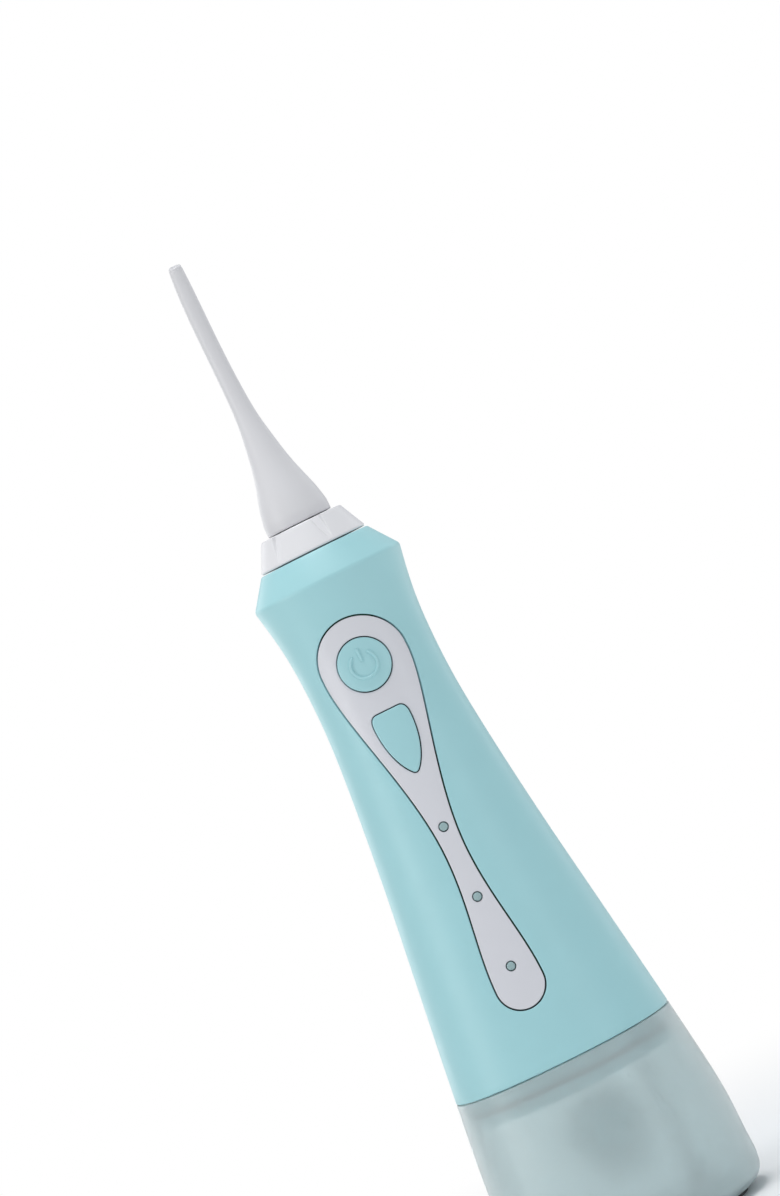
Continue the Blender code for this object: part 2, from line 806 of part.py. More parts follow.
def make_screw(name, x, z, head_front, handle, steel):
    """A pan-head screw along Y, with a round socket. Its head is at the front."""
    profile = (
        (0, head_front + 0.7),
        (SCREW_SOCKET_RADIUS, head_front + 0.7),
        (SCREW_SOCKET_RADIUS, head_front),
        (SCREW_HEAD_RADIUS - 0.3, head_front),
        (SCREW_HEAD_RADIUS, head_front + 0.4),
        (SCREW_HEAD_RADIUS, head_front + 1.2),
        (SCREW_SHANK_RADIUS, head_front + 1.2),
        (SCREW_SHANK_RADIUS, head_front + 5.6),
        (0, head_front + 6.2),
    )
    turned(name, profile, handle, steel, axis="Y", centre=(x, 0, z), sides=10)


# ---------------------------------------------------------------- frame, cells, motor and gears


def shelf(name, half_width, back, span):
    """A block that grows out of the back of the spine plate."""
    return block(name, (-half_width, SPINE_BACK - 0.8, span[0]), (half_width, back, span[1]))


def make_inner_frame(handle, grey):
    """A spine plate that carries the board in front, the motor and the crank axle behind, the pump on top."""
    low = (-SPINE_HALF_WIDTH, SPINE_FRONT, SPINE_SPAN[0])
    frame = block("inner_frame", low, (SPINE_HALF_WIDTH, SPINE_BACK, SPINE_SPAN[1]), handle, grey)
    crank_centre = (0, 0, CRANK_Z)
    parts = [
        shelf("cradle", CRADLE_HALF_WIDTH, CRADLE_BACK, CRADLE_SPAN),
        shelf("motor_shelf", MOTOR_SHELF_HALF_WIDTH, MOTOR_SHELF_BACK, MOTOR_SHELF_SPAN),
        shelf("top_shelf", TOP_SHELF_HALF_WIDTH, TOP_SHELF_BACK, TOP_SHELF_SPAN),
        rod("axle_boss", AXLE_BOSS_RADIUS, SPINE_BACK - 0.8, AXLE_BOSS_BACK, axis="Y", centre=crank_centre),
    ]
    holes = [
        rod("cradle_bore", MOTOR_RADIUS + SEAM, 115.0, 133.0, centre=(0, MOTOR_Y, 0), sides=28),
        rod("top_shelf_hole", CYLINDER_RADIUS + SEAM, 186.0, 193.0, sides=28),
        bore_along_y("axle_hole", AXLE_HOLE_RADIUS, 0.0, CRANK_Z, -12.0, -1.0),
    ]
    boss_root = SPINE_FRONT + 0.6
    for z in BOARD_SCREWS_Z:
        spot = (0, 0, z)
        name = f"board_boss_{z:.0f}"
        ends = (BOARD_BOSS_FRONT, boss_root)
        parts.append(rod(name, BOARD_BOSS_RADIUS, *ends, axis="Y", centre=spot, sides=14))
        holes.append(bore_along_y(name + "_hole", SCREW_HOLE_RADIUS, 0.0, z, -15.0))
    for side in (-1, 1):
        x = side * PUMP_SCREW_X
        holes.append(bore_along_y(f"pump_hole_{side}", SCREW_HOLE_RADIUS, x, PUMP_SCREW_Z, -12.0))
    add(frame, *parts)
    cut(frame, *holes)


def make_cells(handle, wrap):
    low, high = CELL_SPAN
    profile = (
        (0, low),
        (CELL_RADIUS, low),
        (CELL_RADIUS, high),
        (CELL_CAP_RADIUS, high),
        (CELL_CAP_RADIUS, CELL_CAP_TOP),
        (0, CELL_CAP_TOP),
    )
    for name, side in (("left", -1), ("right", 1)):
        turned("battery_cell_" + name, profile, handle, wrap, centre=(side * CELL_X, CELL_Y, 0), sides=20)


def motor_ring(inset, z):
    """The motor's section: a circle with two flats, which face -Y and +Y."""
    flat = MOTOR_FLAT - inset
    ring = []
    for x, y, _ in circle(MOTOR_RADIUS - inset, z, 28):
        ring.append((x, MOTOR_Y + max(-flat, min(flat, y)), z))
    return ring


def make_motor(handle, steel, plastic):
    floor = MOTOR_FOOT + MOTOR_FLOOR
    rings = [
        [(0, MOTOR_Y, MOTOR_FOOT)],
        motor_ring(0.0, MOTOR_FOOT),
        motor_ring(0.0, MOTOR_MOUTH),
        motor_ring(CAN_WALL, MOTOR_MOUTH),
        motor_ring(CAN_WALL, floor),
        [(0, MOTOR_Y, floor)],
    ]
    mesh_object("motor_can", *loft(rings), handle, steel)
    low, high = END_CAP_SPAN
    bore, bore_top = (circle(END_CAP_BORE, z, 14, centre=(0, MOTOR_Y, 0)) for z in END_CAP_SPAN)
    cap = [motor_ring(0.0, low), motor_ring(0.0, high), bore_top, bore]
    mesh_object("motor_end_cap", *loft(cap, closed=True), handle, plastic)


def tooth_ring(station, teeth, levels, widths, place):
    """Four points for each tooth: base, crest, crest, base.

    levels and widths hold the base's and the crest's value, with widths as angles. place makes a point
    from the ring's station, an angle and a level.
    """
    base, crest = levels
    base_half, crest_half = widths[0] / 2, widths[1] / 2
    ring = []
    for k in range(teeth):
        middle = ALL_ROUND * k / teeth
        ring.append(place(station, middle - base_half, base))
        ring.append(place(station, middle - crest_half, crest))
        ring.append(place(station, middle + crest_half, crest))
        ring.append(place(station, middle + base_half, base))
    return ring


def make_rotor(rotor, steel, brass):
    centre = (0, MOTOR_Y, 0)
    shaft_foot, shaft_top = SHAFT_SPAN
    armature_foot, armature_top = ARMATURE_SPAN
    profile = (
        (0, shaft_foot),
        (SHAFT_RADIUS, shaft_foot),
        (SHAFT_RADIUS, armature_foot),
        (ARMATURE_RADIUS, armature_foot),
        (ARMATURE_RADIUS, armature_top),
        (COMMUTATOR_RADIUS, armature_top),
        (COMMUTATOR_RADIUS, COMMUTATOR_TOP),
        (SHAFT_RADIUS, COMMUTATOR_TOP),
        (SHAFT_RADIUS, shaft_top),
        (0, shaft_top),
    )
    turned("motor_rotor", profile, rotor, steel, centre=centre, sides=18)
    root = PINION_PITCH_RADIUS - TOOTH_DEDENDUM
    tip = PINION_PITCH_RADIUS + TOOTH_ADDENDUM

    def place(z, angle, radius):
        # The first tooth points at the crank gear, towards -Y.
        turn = angle - math.pi / 2
        return (radius * math.cos(turn), MOTOR_Y + radius * math.sin(turn), z)

    low, high = PINION_SPAN
    widths = (PINION_TOOTH_WIDTH / root, TOOTH_CREST_WIDTH / tip)
    rings = [
        tooth_ring(low, PINION_TEETH, (root, tip), widths, place),
        tooth_ring(high, PINION_TEETH, (root, tip), widths, place),
        circle(PINION_BORE, high, 16, centre=centre, turn=-math.pi / 2),
        circle(PINION_BORE, low, 16, centre=centre, turn=-math.pi / 2),
    ]
    mesh_object("drive_pinion", *loft(rings, closed=True), rotor, brass)


def make_crank_gear(crank, nylon):
    """A face gear: its teeth face +Y and mesh with the pinion, and its front carries the eccentric."""
    crest = MOTOR_Y - PINION_PITCH_RADIUS + TOOTH_ADDENDUM
    widths = (GEAR_TOOTH_WIDTH / PITCH_RADIUS, TOOTH_CREST_WIDTH / PITCH_RADIUS)
    # A gap between two teeth faces the pinion, towards -Z.
    gap_turn = math.pi / 2 - math.pi / GEAR_TEETH

    def place(radius, angle, y):
        turn = angle - gap_turn
        return (radius * math.cos(turn), y, CRANK_Z + radius * math.sin(turn))

    def rim(radius, y):
        return circle(radius, y, GEAR_TEETH, "Y", (0, 0, CRANK_Z), turn=-gap_turn)

    def toothed(radius):
        return tooth_ring(radius, GEAR_TEETH, (GEAR_FACE, crest), widths, place)

    outer, inner, hub = (GEAR_RADIUS - inset for inset in TOOTH_BAND)
    rings = [
        [(0, GEAR_BACK, CRANK_Z)],
        rim(GEAR_RADIUS, GEAR_BACK),
        rim(GEAR_RADIUS, GEAR_FACE),
        toothed(outer),
        toothed(inner),
        rim(hub, GEAR_FACE),
        [(0, GEAR_FACE, CRANK_Z)],
    ]
    gear = mesh_object("crank_gear", *loft(rings), crank, nylon)
    lobe_centre = (0, 0, ECCENTRIC_Z)
    add(gear, rod("eccentric", ECCENTRIC_RADIUS, *ECCENTRIC_SPAN, axis="Y", centre=lobe_centre, sides=24))
    cut(gear, rod("crank_bore", CRANK_BORE, -5.0, 8.0, axis="Y", centre=(0, 0, CRANK_Z)))


def make_axle(handle, steel):
    low, high = AXLE_SPAN
    groove_low, groove_high = AXLE_GROOVE
    profile = (
        (0, low),
        (AXLE_HEAD_RADIUS, low),
        (AXLE_HEAD_RADIUS, AXLE_HEAD_BACK),
        (AXLE_RADIUS, AXLE_HEAD_BACK),
        (AXLE_RADIUS, groove_low),
        (AXLE_GROOVE_RADIUS, groove_low),
        (AXLE_GROOVE_RADIUS, groove_high),
        (AXLE_RADIUS, groove_high),
        (AXLE_RADIUS, high),
        (0, high),
    )
    turned("gear_axle", profile, handle, steel, axis="Y", centre=(0, 0, CRANK_Z))
    clip = split_ring(AXLE_CLIP_RADII, AXLE_CLIP_SPAN, "Y", (0, 0, CRANK_Z))
    mesh_object("axle_clip", *clip, handle, steel)


def split_ring(radii, heights, axis, centre, sides=18, gap_deg=40.0):
    """An open retaining ring with a flat section."""
    stacks = []
    for radius in radii[::-1]:
        stack = []
        for height in heights:
            ring = []
            for i in range(sides + 1):
                turn = math.radians(gap_deg / 2 + (360 - gap_deg) * i / sides - 90)
                ring += circle(radius, height, 1, axis, centre, turn)
            stack.append(ring)
        stacks.append(stack)
    return open_wall(*stacks)


# ---------------------------------------------------------------- pump


def make_con_rod(con_rod, nylon, steel):
    bore, outside = ROD_RING_RADII
    half = ROD_HALF_THICKNESS
    profile = ((outside, -half), (outside, half), (bore, half), (bore, -half))
    link = turned("con_rod", profile, con_rod, nylon, axis="Y", centre=(0, 0, ECCENTRIC_Z), sides=24)
    wrist = (0, 0, WRIST_Z)
    reach = ROD_BAR_HALF_WIDTH
    bar = block("rod_bar", (-reach, -reach, ECCENTRIC_Z + ROD_BAR_START), (reach, reach, WRIST_Z))
    eye_half = ROD_EYE_HALF_THICKNESS
    add(link, bar, rod("rod_eye", ROD_EYE_RADIUS, -eye_half, eye_half, axis="Y", centre=wrist, sides=16))
    cut(link, bore_along_y("eye_hole", ROD_EYE_BORE, 0.0, WRIST_Z, -3.0, 3.0))
    pin_half = WRIST_PIN_HALF_LENGTH
    rod("wrist_pin", WRIST_PIN_RADIUS, -pin_half, pin_half, con_rod, steel, axis="Y", centre=wrist, sides=14)


def make_piston(piston, white, rubber):
    low, high = PISTON_SPAN
    groove_low, groove_high = PISTON_GROOVE
    profile = (
        (0, low),
        (PISTON_RADIUS, low),
        (PISTON_RADIUS, groove_low),
        (PISTON_GROOVE_RADIUS, groove_low),
        (PISTON_GROOVE_RADIUS, groove_high),
        (PISTON_RADIUS, groove_high),
        (PISTON_RADIUS, high),
        (0, high),
    )
    plunger = turned("piston", profile, piston, white, sides=20)
    cheeks = []
    for side in (-1, 1):
        y = sorted(side * reach for reach in FORK_CHEEK_Y)
        corners = ((-FORK_HALF_WIDTH, y[0], FORK_FOOT), (FORK_HALF_WIDTH, y[1], low + 0.6))
        cheeks.append(block(f"fork_{side}", *corners))
    add(plunger, *cheeks)
    cut(plunger, bore_along_y("fork_hole", FORK_HOLE_RADIUS, 0.0, WRIST_Z, -4.0, 4.0))
    rubber_ring("piston_seal", PISTON_SEAL_RADII, (groove_low + groove_high) / 2, piston, rubber)


def rubber_ring(name, radii, z, parent, look, sides=18):
    """A ring with a round section: its own radius and its section's."""
    radius, tube = radii
    profile = []
    for i in range(6):
        angle = ALL_ROUND * i / 6
        profile.append((radius + tube * math.cos(angle), z + tube * math.sin(angle)))
    turned(name, profile, parent, look, sides=sides)


def make_pump_cylinder(handle, white):
    low, high = CYLINDER_SPAN
    profile = (
        (CYLINDER_BORE, low),
        (CYLINDER_RADIUS, low),
        (CYLINDER_RADIUS, high),
        (CYLINDER_OUTLET_RADIUS, high),
        (CYLINDER_OUTLET_RADIUS, CHAMBER_TOP),
        (CYLINDER_BORE, CHAMBER_TOP),
    )
    barrel = turned("pump_cylinder", profile, handle, white, sides=24)
    inlet = (0, 0, INLET_Z)
    parts = [rod("inlet_boss", INLET_BOSS_RADIUS, *INLET_BOSS_SPAN, axis="X", centre=inlet, sides=16)]
    holes = [rod("inlet_bore", INLET_BORE_RADIUS, 3.0, 14.0, axis="X", centre=inlet, sides=12)]
    for side in (-1, 1):
        x = sorted(side * reach for reach in PUMP_EAR_X)
        parts.append(block(f"pump_ear_{side}", *zip(x, PUMP_EAR_Y, PUMP_EAR_Z)))
        screw_x = side * PUMP_SCREW_X
        holes.append(bore_along_y(f"ear_hole_{side}", SCREW_HOLE_RADIUS, screw_x, PUMP_SCREW_Z, -9.0))
    add(barrel, *parts)
    cut(barrel, *holes)


def make_valve(handle, ball, white, steel):
    low, high = VALVE_SPAN
    profile = (
        (CYLINDER_OUTLET_RADIUS, low),
        (CYLINDER_RADIUS, low),
        (CYLINDER_RADIUS, high),
        (VALVE_BORE, high),
        (VALVE_BORE, VALVE_SEAT_TOP),
        (CYLINDER_OUTLET_RADIUS, VALVE_SEAT_TOP),
    )
    turned("valve_head", profile, handle, white, sides=20)
    bands = 6
    outline = [(0, BALL_Z - BALL_RADIUS)]
    for i in range(1, bands):
        angle = math.pi * i / bands
        outline.append((BALL_RADIUS * math.sin(angle), BALL_Z - BALL_RADIUS * math.cos(angle)))
    turned("outlet_ball", outline + [(0, BALL_Z + BALL_RADIUS)], ball, steel, sides=12)
    make_spring(handle, steel)


def make_spring(handle, steel):
    low, high = SPRING_SPAN
    steps = SPRING_TURNS * 10
    path = []
    for i in range(steps + 1):
        angle = ALL_ROUND * SPRING_TURNS * i / steps
        height = low + (high - low) * i / steps
        path.append((SPRING_RADIUS * math.cos(angle), SPRING_RADIUS * math.sin(angle), height))
    rings = path_rings(path, SPRING_WIRE_RADIUS, 4, (0, 0, 1))
    mesh_object("outlet_spring", *loft([[path[0]]] + rings + [[path[-1]]]), handle, steel)


def make_nozzle_seat(handle, white):
    low, high = SEAT_SPAN
    profile = (
        (SEAT_BORE, low),
        (SEAT_RADIUS, low),
        (SEAT_RADIUS, high),
        (SEAT_SOCKET_RADIUS, high),
        (SEAT_SOCKET_RADIUS, SEAT_FLOOR),
        (SEAT_BORE, SEAT_FLOOR),
    )
    turned("nozzle_seat", profile, handle, white, sides=20)


def make_suction_tube(handle, clear, white):
    """A hose from the reservoir's floor, past the cells and the motor, to the pump's inlet."""
    bore, outside = TUBE_RADII
    foot_x, foot_y, _ = TUBE_PATH[0]
    top_x, top_y, _ = TUBE_PATH[-1]
    path = [(foot_x, foot_y, TUBE_FOOT)] + list(TUBE_PATH)
    bend = arc((top_x - TUBE_ELBOW, INLET_Z - TUBE_ELBOW), (TUBE_ELBOW, TUBE_ELBOW), 0, 90, 5)
    path += [(x, top_y, z) for x, z in bend + [(top_x - TUBE_ELBOW, INLET_Z)]]
    outer = path_rings(path, outside, 8, (0, 1, 0))
    inner = path_rings(path, bore, 8, (0, 1, 0))
    mesh_object("suction_tube", *loft(outer + inner[::-1], closed=True), handle, clear)
    low, high = FILTER_SPAN
    socket_radius, socket_floor = FILTER_SOCKET
    profile = (
        (bore, low),
        (FILTER_RADIUS, low),
        (FILTER_RADIUS, high),
        (socket_radius, high),
        (socket_radius, socket_floor),
        (bore, socket_floor),
    )
    turned("inlet_filter", profile, handle, white, centre=(foot_x, foot_y, 0))


# ---------------------------------------------------------------- nozzle and collar


def nozzle_centre(z):
    """The nozzle's centre line: it leans back and hooks forwards again at its tip."""
    t = max(0.0, (z - NOZZLE_BEND_START) / (NOZZLE_TIP - NOZZLE_BEND_START))
    shift = NOZZLE_OFFSET * t * t * (NOZZLE_HOOK - t)
    return NOZZLE_LEAN[0] * shift, NOZZLE_LEAN[1] * shift


def make_nozzle(nozzle, white, rubber):
    groove_low, groove_high = O_RING_Z - O_RING_GROOVE, O_RING_Z + O_RING_GROOVE
    shank = [
        (SHANK_RADIUS, SHANK_FOOT),
        (SHANK_RADIUS, groove_low),
        (O_RING_GROOVE_RADIUS, groove_low),
        (O_RING_GROOVE_RADIUS, groove_high),
        (SHANK_RADIUS, groove_high),
        (SHANK_RADIUS, NOZZLE_FOOT),
    ]
    rings = []
    for radius, z in shank + list(NOZZLE_OUTLINE + NOZZLE_BORE):
        x, y = nozzle_centre(z)
        rings.append(circle(radius, z, 16, centre=(x, y, 0)))
    mesh_object("nozzle", *loft(rings, closed=True), nozzle, white)
    rubber_ring("nozzle_o_ring", O_RING_RADII, O_RING_Z, nozzle, rubber)


def make_collar(collar, white, steel):
    foot_radius, top_radius = COLLAR_RADII
    bore, sleeve = SLEEVE_RADII
    groove_low, groove_high = CLIP_GROOVE
    profile = (
        (foot_radius - COLLAR_EDGE, COLLAR_FOOT),
        (foot_radius, COLLAR_FOOT + COLLAR_EDGE),
        (top_radius, COLLAR_TOP - COLLAR_EDGE),
        (top_radius - COLLAR_EDGE, COLLAR_TOP),
        (COLLAR_BORE_RADIUS, COLLAR_TOP),
        (COLLAR_BORE_RADIUS, COLLAR_FLOOR),
        (bore, COLLAR_FLOOR),
        (bore, SLEEVE_FOOT),
        (sleeve, SLEEVE_FOOT),
        (sleeve, groove_low),
        (CLIP_GROOVE_RADIUS, groove_low),
        (CLIP_GROOVE_RADIUS, groove_high),
        (sleeve, groove_high),
        (sleeve, COLLAR_FOOT),
    )
    grip = turned("tip_collar", profile, collar, white, sides=24)
    cut(grip, *[notch(k) for k in range(COLLAR_NOTCHES)])
    mesh_object("collar_clip", *split_ring(CLIP_RADII, CLIP_SPAN, "Z", (0, 0, 0), sides=24), collar, steel)


def notch(k):
    """A wedge that cuts one tapered notch: wide and 1 mm deep at the top, fading out below."""
    angle = math.radians(NOTCH_TURN + 360 / COLLAR_NOTCHES * k)
    points = []
    for z, sizes in ((COLLAR_TOP + 0.4, NOTCH_TOP), (COLLAR_FOOT + 0.8, NOTCH_FOOT)):
        inner, outer, half = sizes
        for radius, side in ((inner, -half), (inner, half), (outer, half), (outer, -half)):
            x = radius * math.cos(angle) - side * math.sin(angle)
            y = radius * math.sin(angle) + side * math.cos(angle)
            points.append((x, y, z))
    faces = ((0, 1, 2, 3), (4, 7, 6, 5), (0, 4, 5, 1), (1, 5, 6, 2), (2, 6, 7, 3), (3, 7, 4, 0))
    return mesh_object(f"notch_{k}", points, faces)


# ---------------------------------------------------------------- reservoir end


def mouth_ring(inset, z):
    """A ring at any height with the section of the casing's lower end, drawn in by inset."""
    width, depth, power = section(CASING_FOOT, inset)
    return oval((width, depth, power), z, TANK_SIDES)


def make_handle_base(handle, mint, rubber):
    """The plate that closes the casing, with a skirt that plugs into the reservoir."""
    low, high = BASE_PLATE_SPAN
    plate = [mouth_ring(BASE_PLATE_INSET, low), mouth_ring(BASE_PLATE_INSET, high)]
    base = mesh_object("handle_base", *loft([[(0, 0, low)]] + plate + [[(0, 0, high)]]), handle, mint)
    outer, inner = SKIRT_INSETS
    foot, top = SKIRT_SPAN
    skirt = [mouth_ring(outer, foot), mouth_ring(outer, top), mouth_ring(inner, top), mouth_ring(inner, foot)]
    hole_centre = (TUBE_PATH[0][0], TUBE_PATH[0][1], 0)
    cut(base, rod("tube_hole", TUBE_HOLE_RADIUS, 50.0, 60.0, centre=hole_centre, sides=15))
    add(base, mesh_object("skirt", *loft(skirt, closed=True)))
    seal = []
    for i in range(6):
        angle = ALL_ROUND * i / 6
        inset = SEAL_INSET + SEAL_RADIUS * math.cos(angle)
        seal.append(mouth_ring(inset, SEAL_Z + SEAL_RADIUS * math.sin(angle)))
    mesh_object("tank_seal", *loft(seal, closed=True), handle, rubber)


def make_charge_jack(handle, black):
    low, high = JACK_SPAN
    profile = (
        (0, low),
        (JACK_RADIUS, low),
        (JACK_RADIUS, high),
        (JACK_SOCKET_RADIUS, high),
        (JACK_SOCKET_RADIUS, JACK_SOCKET_FOOT),
        (JACK_PIN_RADIUS, JACK_SOCKET_FOOT),
        (JACK_PIN_RADIUS, high - 1.0),
        (0, high - 1.0),
    )
    turned("charge_jack", profile, handle, black, axis="Y", centre=(0, 0, PORT_Z))


def make_port_cover(cover, rubber):
    """A soft cover that swings up on a strap above the charging port."""
    front, back = COVER_SPAN
    flap = prism("port_cover", rounded_rectangle(*COVER, COVER_CORNER), front, back, cover, rubber)
    half = COVER_STRAP_HALF_WIDTH
    strap_low = (-half, front + 0.05, COVER[3] - 0.4)
    strap = block("cover_strap", strap_low, (half, back - 0.1, COVER_HINGE_Z - 0.2))
    hinge = (0, COVER_HINGE_Y, COVER_HINGE_Z)
    reach = half + 0.1
    knuckle = rod("cover_knuckle", COVER_KNUCKLE_RADIUS, -reach, reach, axis="X", centre=hinge, sides=12)
    plug = rod("cover_plug", COVER_PLUG_RADIUS, COVER_PLUG_END, front + 0.5, axis="Y", centre=(0, 0, PORT_Z))
    add(flap, strap, knuckle, plug)


def make_reservoir(tank, smoke):
    heights = (4.0, 12.0, 24.0, 39.0, TANK_TOP)
    inside_foot = TANK_FOOT + TANK_WALL
    outer = [oval(section(z), z, TANK_SIDES) for z in (TANK_FOOT,) + heights]
    inner_heights = (inside_foot, inside_foot + 2.1) + heights[1:]
    inner = [oval(section(z, TANK_WALL), z, TANK_SIDES) for z in inner_heights]
    rings = [[(0, 0, TANK_FOOT)]] + outer + inner[::-1] + [[(0, 0, inside_foot)]]
    shell = mesh_object("reservoir", *loft(rings), tank, smoke)
    filler = (0, 0, FILLER_Z)
    parts = [rod("filler_boss", CAP_RADIUS, FILLER_ROOT, FILLER_FACE, axis="Y", centre=filler, sides=28)]
    hinge = (0, CAP_HINGE_Y, CAP_HINGE_Z)
    low, high = CAP_HINGE_Z - EAR_RADIUS + 0.1, CAP_HINGE_Z + EAR_RADIUS - 0.1
    for side in (-1, 1):
        x = sorted(side * reach for reach in EAR_X)
        parts.append(block(f"ear_{side}", (x[0], EAR_ROOT, low), (x[1], CAP_HINGE_Y, high)))
        ends = (x[0] - 0.02, x[1] + 0.02)
        parts.append(rod(f"ear_end_{side}", EAR_RADIUS, *ends, axis="X", centre=hinge, sides=16))
    add(shell, *parts)
    bore = rod("filler_bore", FILLER_RADIUS, 20.0, 36.0, axis="Y", centre=filler, sides=28)
    cut(shell, bore, rod("ear_hole", HINGE_HOLE_RADIUS, -9.0, 9.0, axis="X", centre=hinge, sides=14))


def make_foot_pad(tank, rubber):
    low_inset, high_inset = PAD_INSETS
    rings = [
        [(0, 0, 0)],
        oval(section(TANK_FOOT, low_inset), 0.0, TANK_SIDES),
        oval(section(TANK_FOOT, high_inset), PAD_THICKNESS, TANK_SIDES),
        [(0, 0, PAD_THICKNESS)],
    ]
    mesh_object("foot_pad", *loft(rings), tank, rubber)


def make_filler_cap(tank, cap, mint, rubber, steel):
    centre = (0, 0, FILLER_Z)
    hinge = (0, CAP_HINGE_Y, CAP_HINGE_Z)
    front, back = CAP_SPAN
    profile = (
        (0, CAP_PLUG_END),
        (CAP_PLUG_RADIUS - 0.4, CAP_PLUG_END),
        (CAP_PLUG_RADIUS, CAP_PLUG_END + 0.6),
        (CAP_PLUG_RADIUS, front),
        (CAP_RADIUS, front),
        (CAP_RADIUS, back - CAP_EDGE),
        (CAP_RIM_RADIUS, back),
        (0, back),
    )
    lid = turned("filler_cap", profile, cap, mint, axis="Y", centre=centre, sides=24)
    half = CAP_ARM_HALF_WIDTH
    arm = block("cap_arm", (-half, front + 0.2, CAP_HINGE_Z + 0.2), (half, back - 0.2, CAP_ARM_TOP))
    ends = (-half - 0.1, half + 0.1)
    add(lid, arm, rod("cap_knuckle", CAP_KNUCKLE_RADIUS, *ends, axis="X", centre=hinge, sides=14))
    cut(lid, rod("cap_bore", HINGE_HOLE_RADIUS, -7.0, 7.0, axis="X", centre=hinge, sides=14))
    low, high = GASKET_SPAN
    inner, outer = GASKET_RADII
    gasket = ((inner, low), (outer, low), (outer, high), (inner, high))
    turned("filler_gasket", gasket, cap, rubber, axis="Y", centre=centre, sides=20)
    reach = HINGE_PIN_HALF_LENGTH
    rod("cap_hinge_pin", HINGE_PIN_RADIUS, -reach, reach, tank, steel, axis="X", centre=hinge, sides=14)


# ---------------------------------------------------------------- assembly


def build():
    clear_scene()
    mint = material("mint_plastic", (0.37, 0.65, 0.68), 0.42)
    white = material("white_plastic", (0.80, 0.80, 0.82), 0.40)
    pale = material("pale_panel", (0.63, 0.64, 0.68), 0.38)
    grey = material("grey_plastic", (0.35, 0.36, 0.38), 0.5)
    smoke = material("tank_plastic", (0.62, 0.76, 0.78), 0.25)
    rubber = material("grey_rubber", (0.25, 0.27, 0.28), 0.75)
    clear = material("clear_plastic", (0.75, 0.88, 0.88), 0.15)
    green = material("circuit_board", (0.05, 0.25, 0.12), 0.5)
    steel = material("steel", (0.56, 0.57, 0.58), 0.3, 1.0)
    brass = material("brass", (0.75, 0.58, 0.28), 0.3, 1.0)
    nylon = material("nylon", (0.85, 0.84, 0.78), 0.5)
    wrap = material("cell_wrap", (0.16, 0.30, 0.55), 0.4)

    handle = body("handle")
    make_front_shell(handle, mint)
    make_rear_shell(handle, mint)
    make_control_panel(handle, pale)
    make_membrane(handle, rubber)
    make_circuit_board(handle, green)
    for name, z in LIGHTS.items():
        make_light_pipe(name, z, handle, clear)
    for i, z in enumerate(BOARD_SCREWS_Z):
        make_screw(f"board_screw_{i + 1}", 0.0, z, BOARD_SCREW_FRONT, handle, steel)
    make_inner_frame(handle, grey)
    make_cells(handle, wrap)
    make_motor(handle, steel, grey)
    make_axle(handle, steel)
    make_pump_cylinder(handle, white)
    for name, side in (("left", -1), ("right", 1)):
        make_screw("pump_screw_" + name, side * PUMP_SCREW_X, PUMP_SCREW_Z, PUMP_SCREW_FRONT, handle, steel)
    make_nozzle_seat(handle, white)
    make_handle_base(handle, mint, rubber)
    make_suction_tube(handle, clear, white)
    make_charge_jack(handle, grey)

    make_valve(handle, body("outlet_ball", (0, 0, BALL_Z)), white, steel)
    for name, outline, z in (("power_button", power_outline, POWER_Z), ("mode_button", mode_outline, MODE_Z)):
        make_button(name, outline(-SEAM), z, body(name, (0, STEM_END, z)), mint)
    make_collar(body("tip_collar", (0, 0, COLLAR_FOOT)), white, steel)
    make_nozzle(body("nozzle", (0, 0, NOZZLE_FOOT)), white, rubber)
    make_rotor(body("motor_rotor", (0, MOTOR_Y, MOTOR_MOUTH)), steel, brass)
    make_crank_gear(body("crank_gear", (0, 0, CRANK_Z)), nylon)
    make_con_rod(body("con_rod", (0, 0, ECCENTRIC_Z)), nylon, steel)
    make_piston(body("piston", (0, 0, WRIST_Z)), white, rubber)
    make_port_cover(body("port_cover", (0, COVER_HINGE_Y, COVER_HINGE_Z)), rubber)

    tank = body("tank")
    make_reservoir(tank, smoke)
    make_foot_pad(tank, rubber)
    make_filler_cap(tank, body("filler_cap", (0, CAP_HINGE_Y, CAP_HINGE_Z)), mint, rubber, steel)


build()
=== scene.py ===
import json
import math

import bmesh
import bpy
import numpy as np
from mathutils import Matrix, Vector
from mathutils.bvhtree import BVHTree
from mathutils.geometry import delaunay_2d_cdt

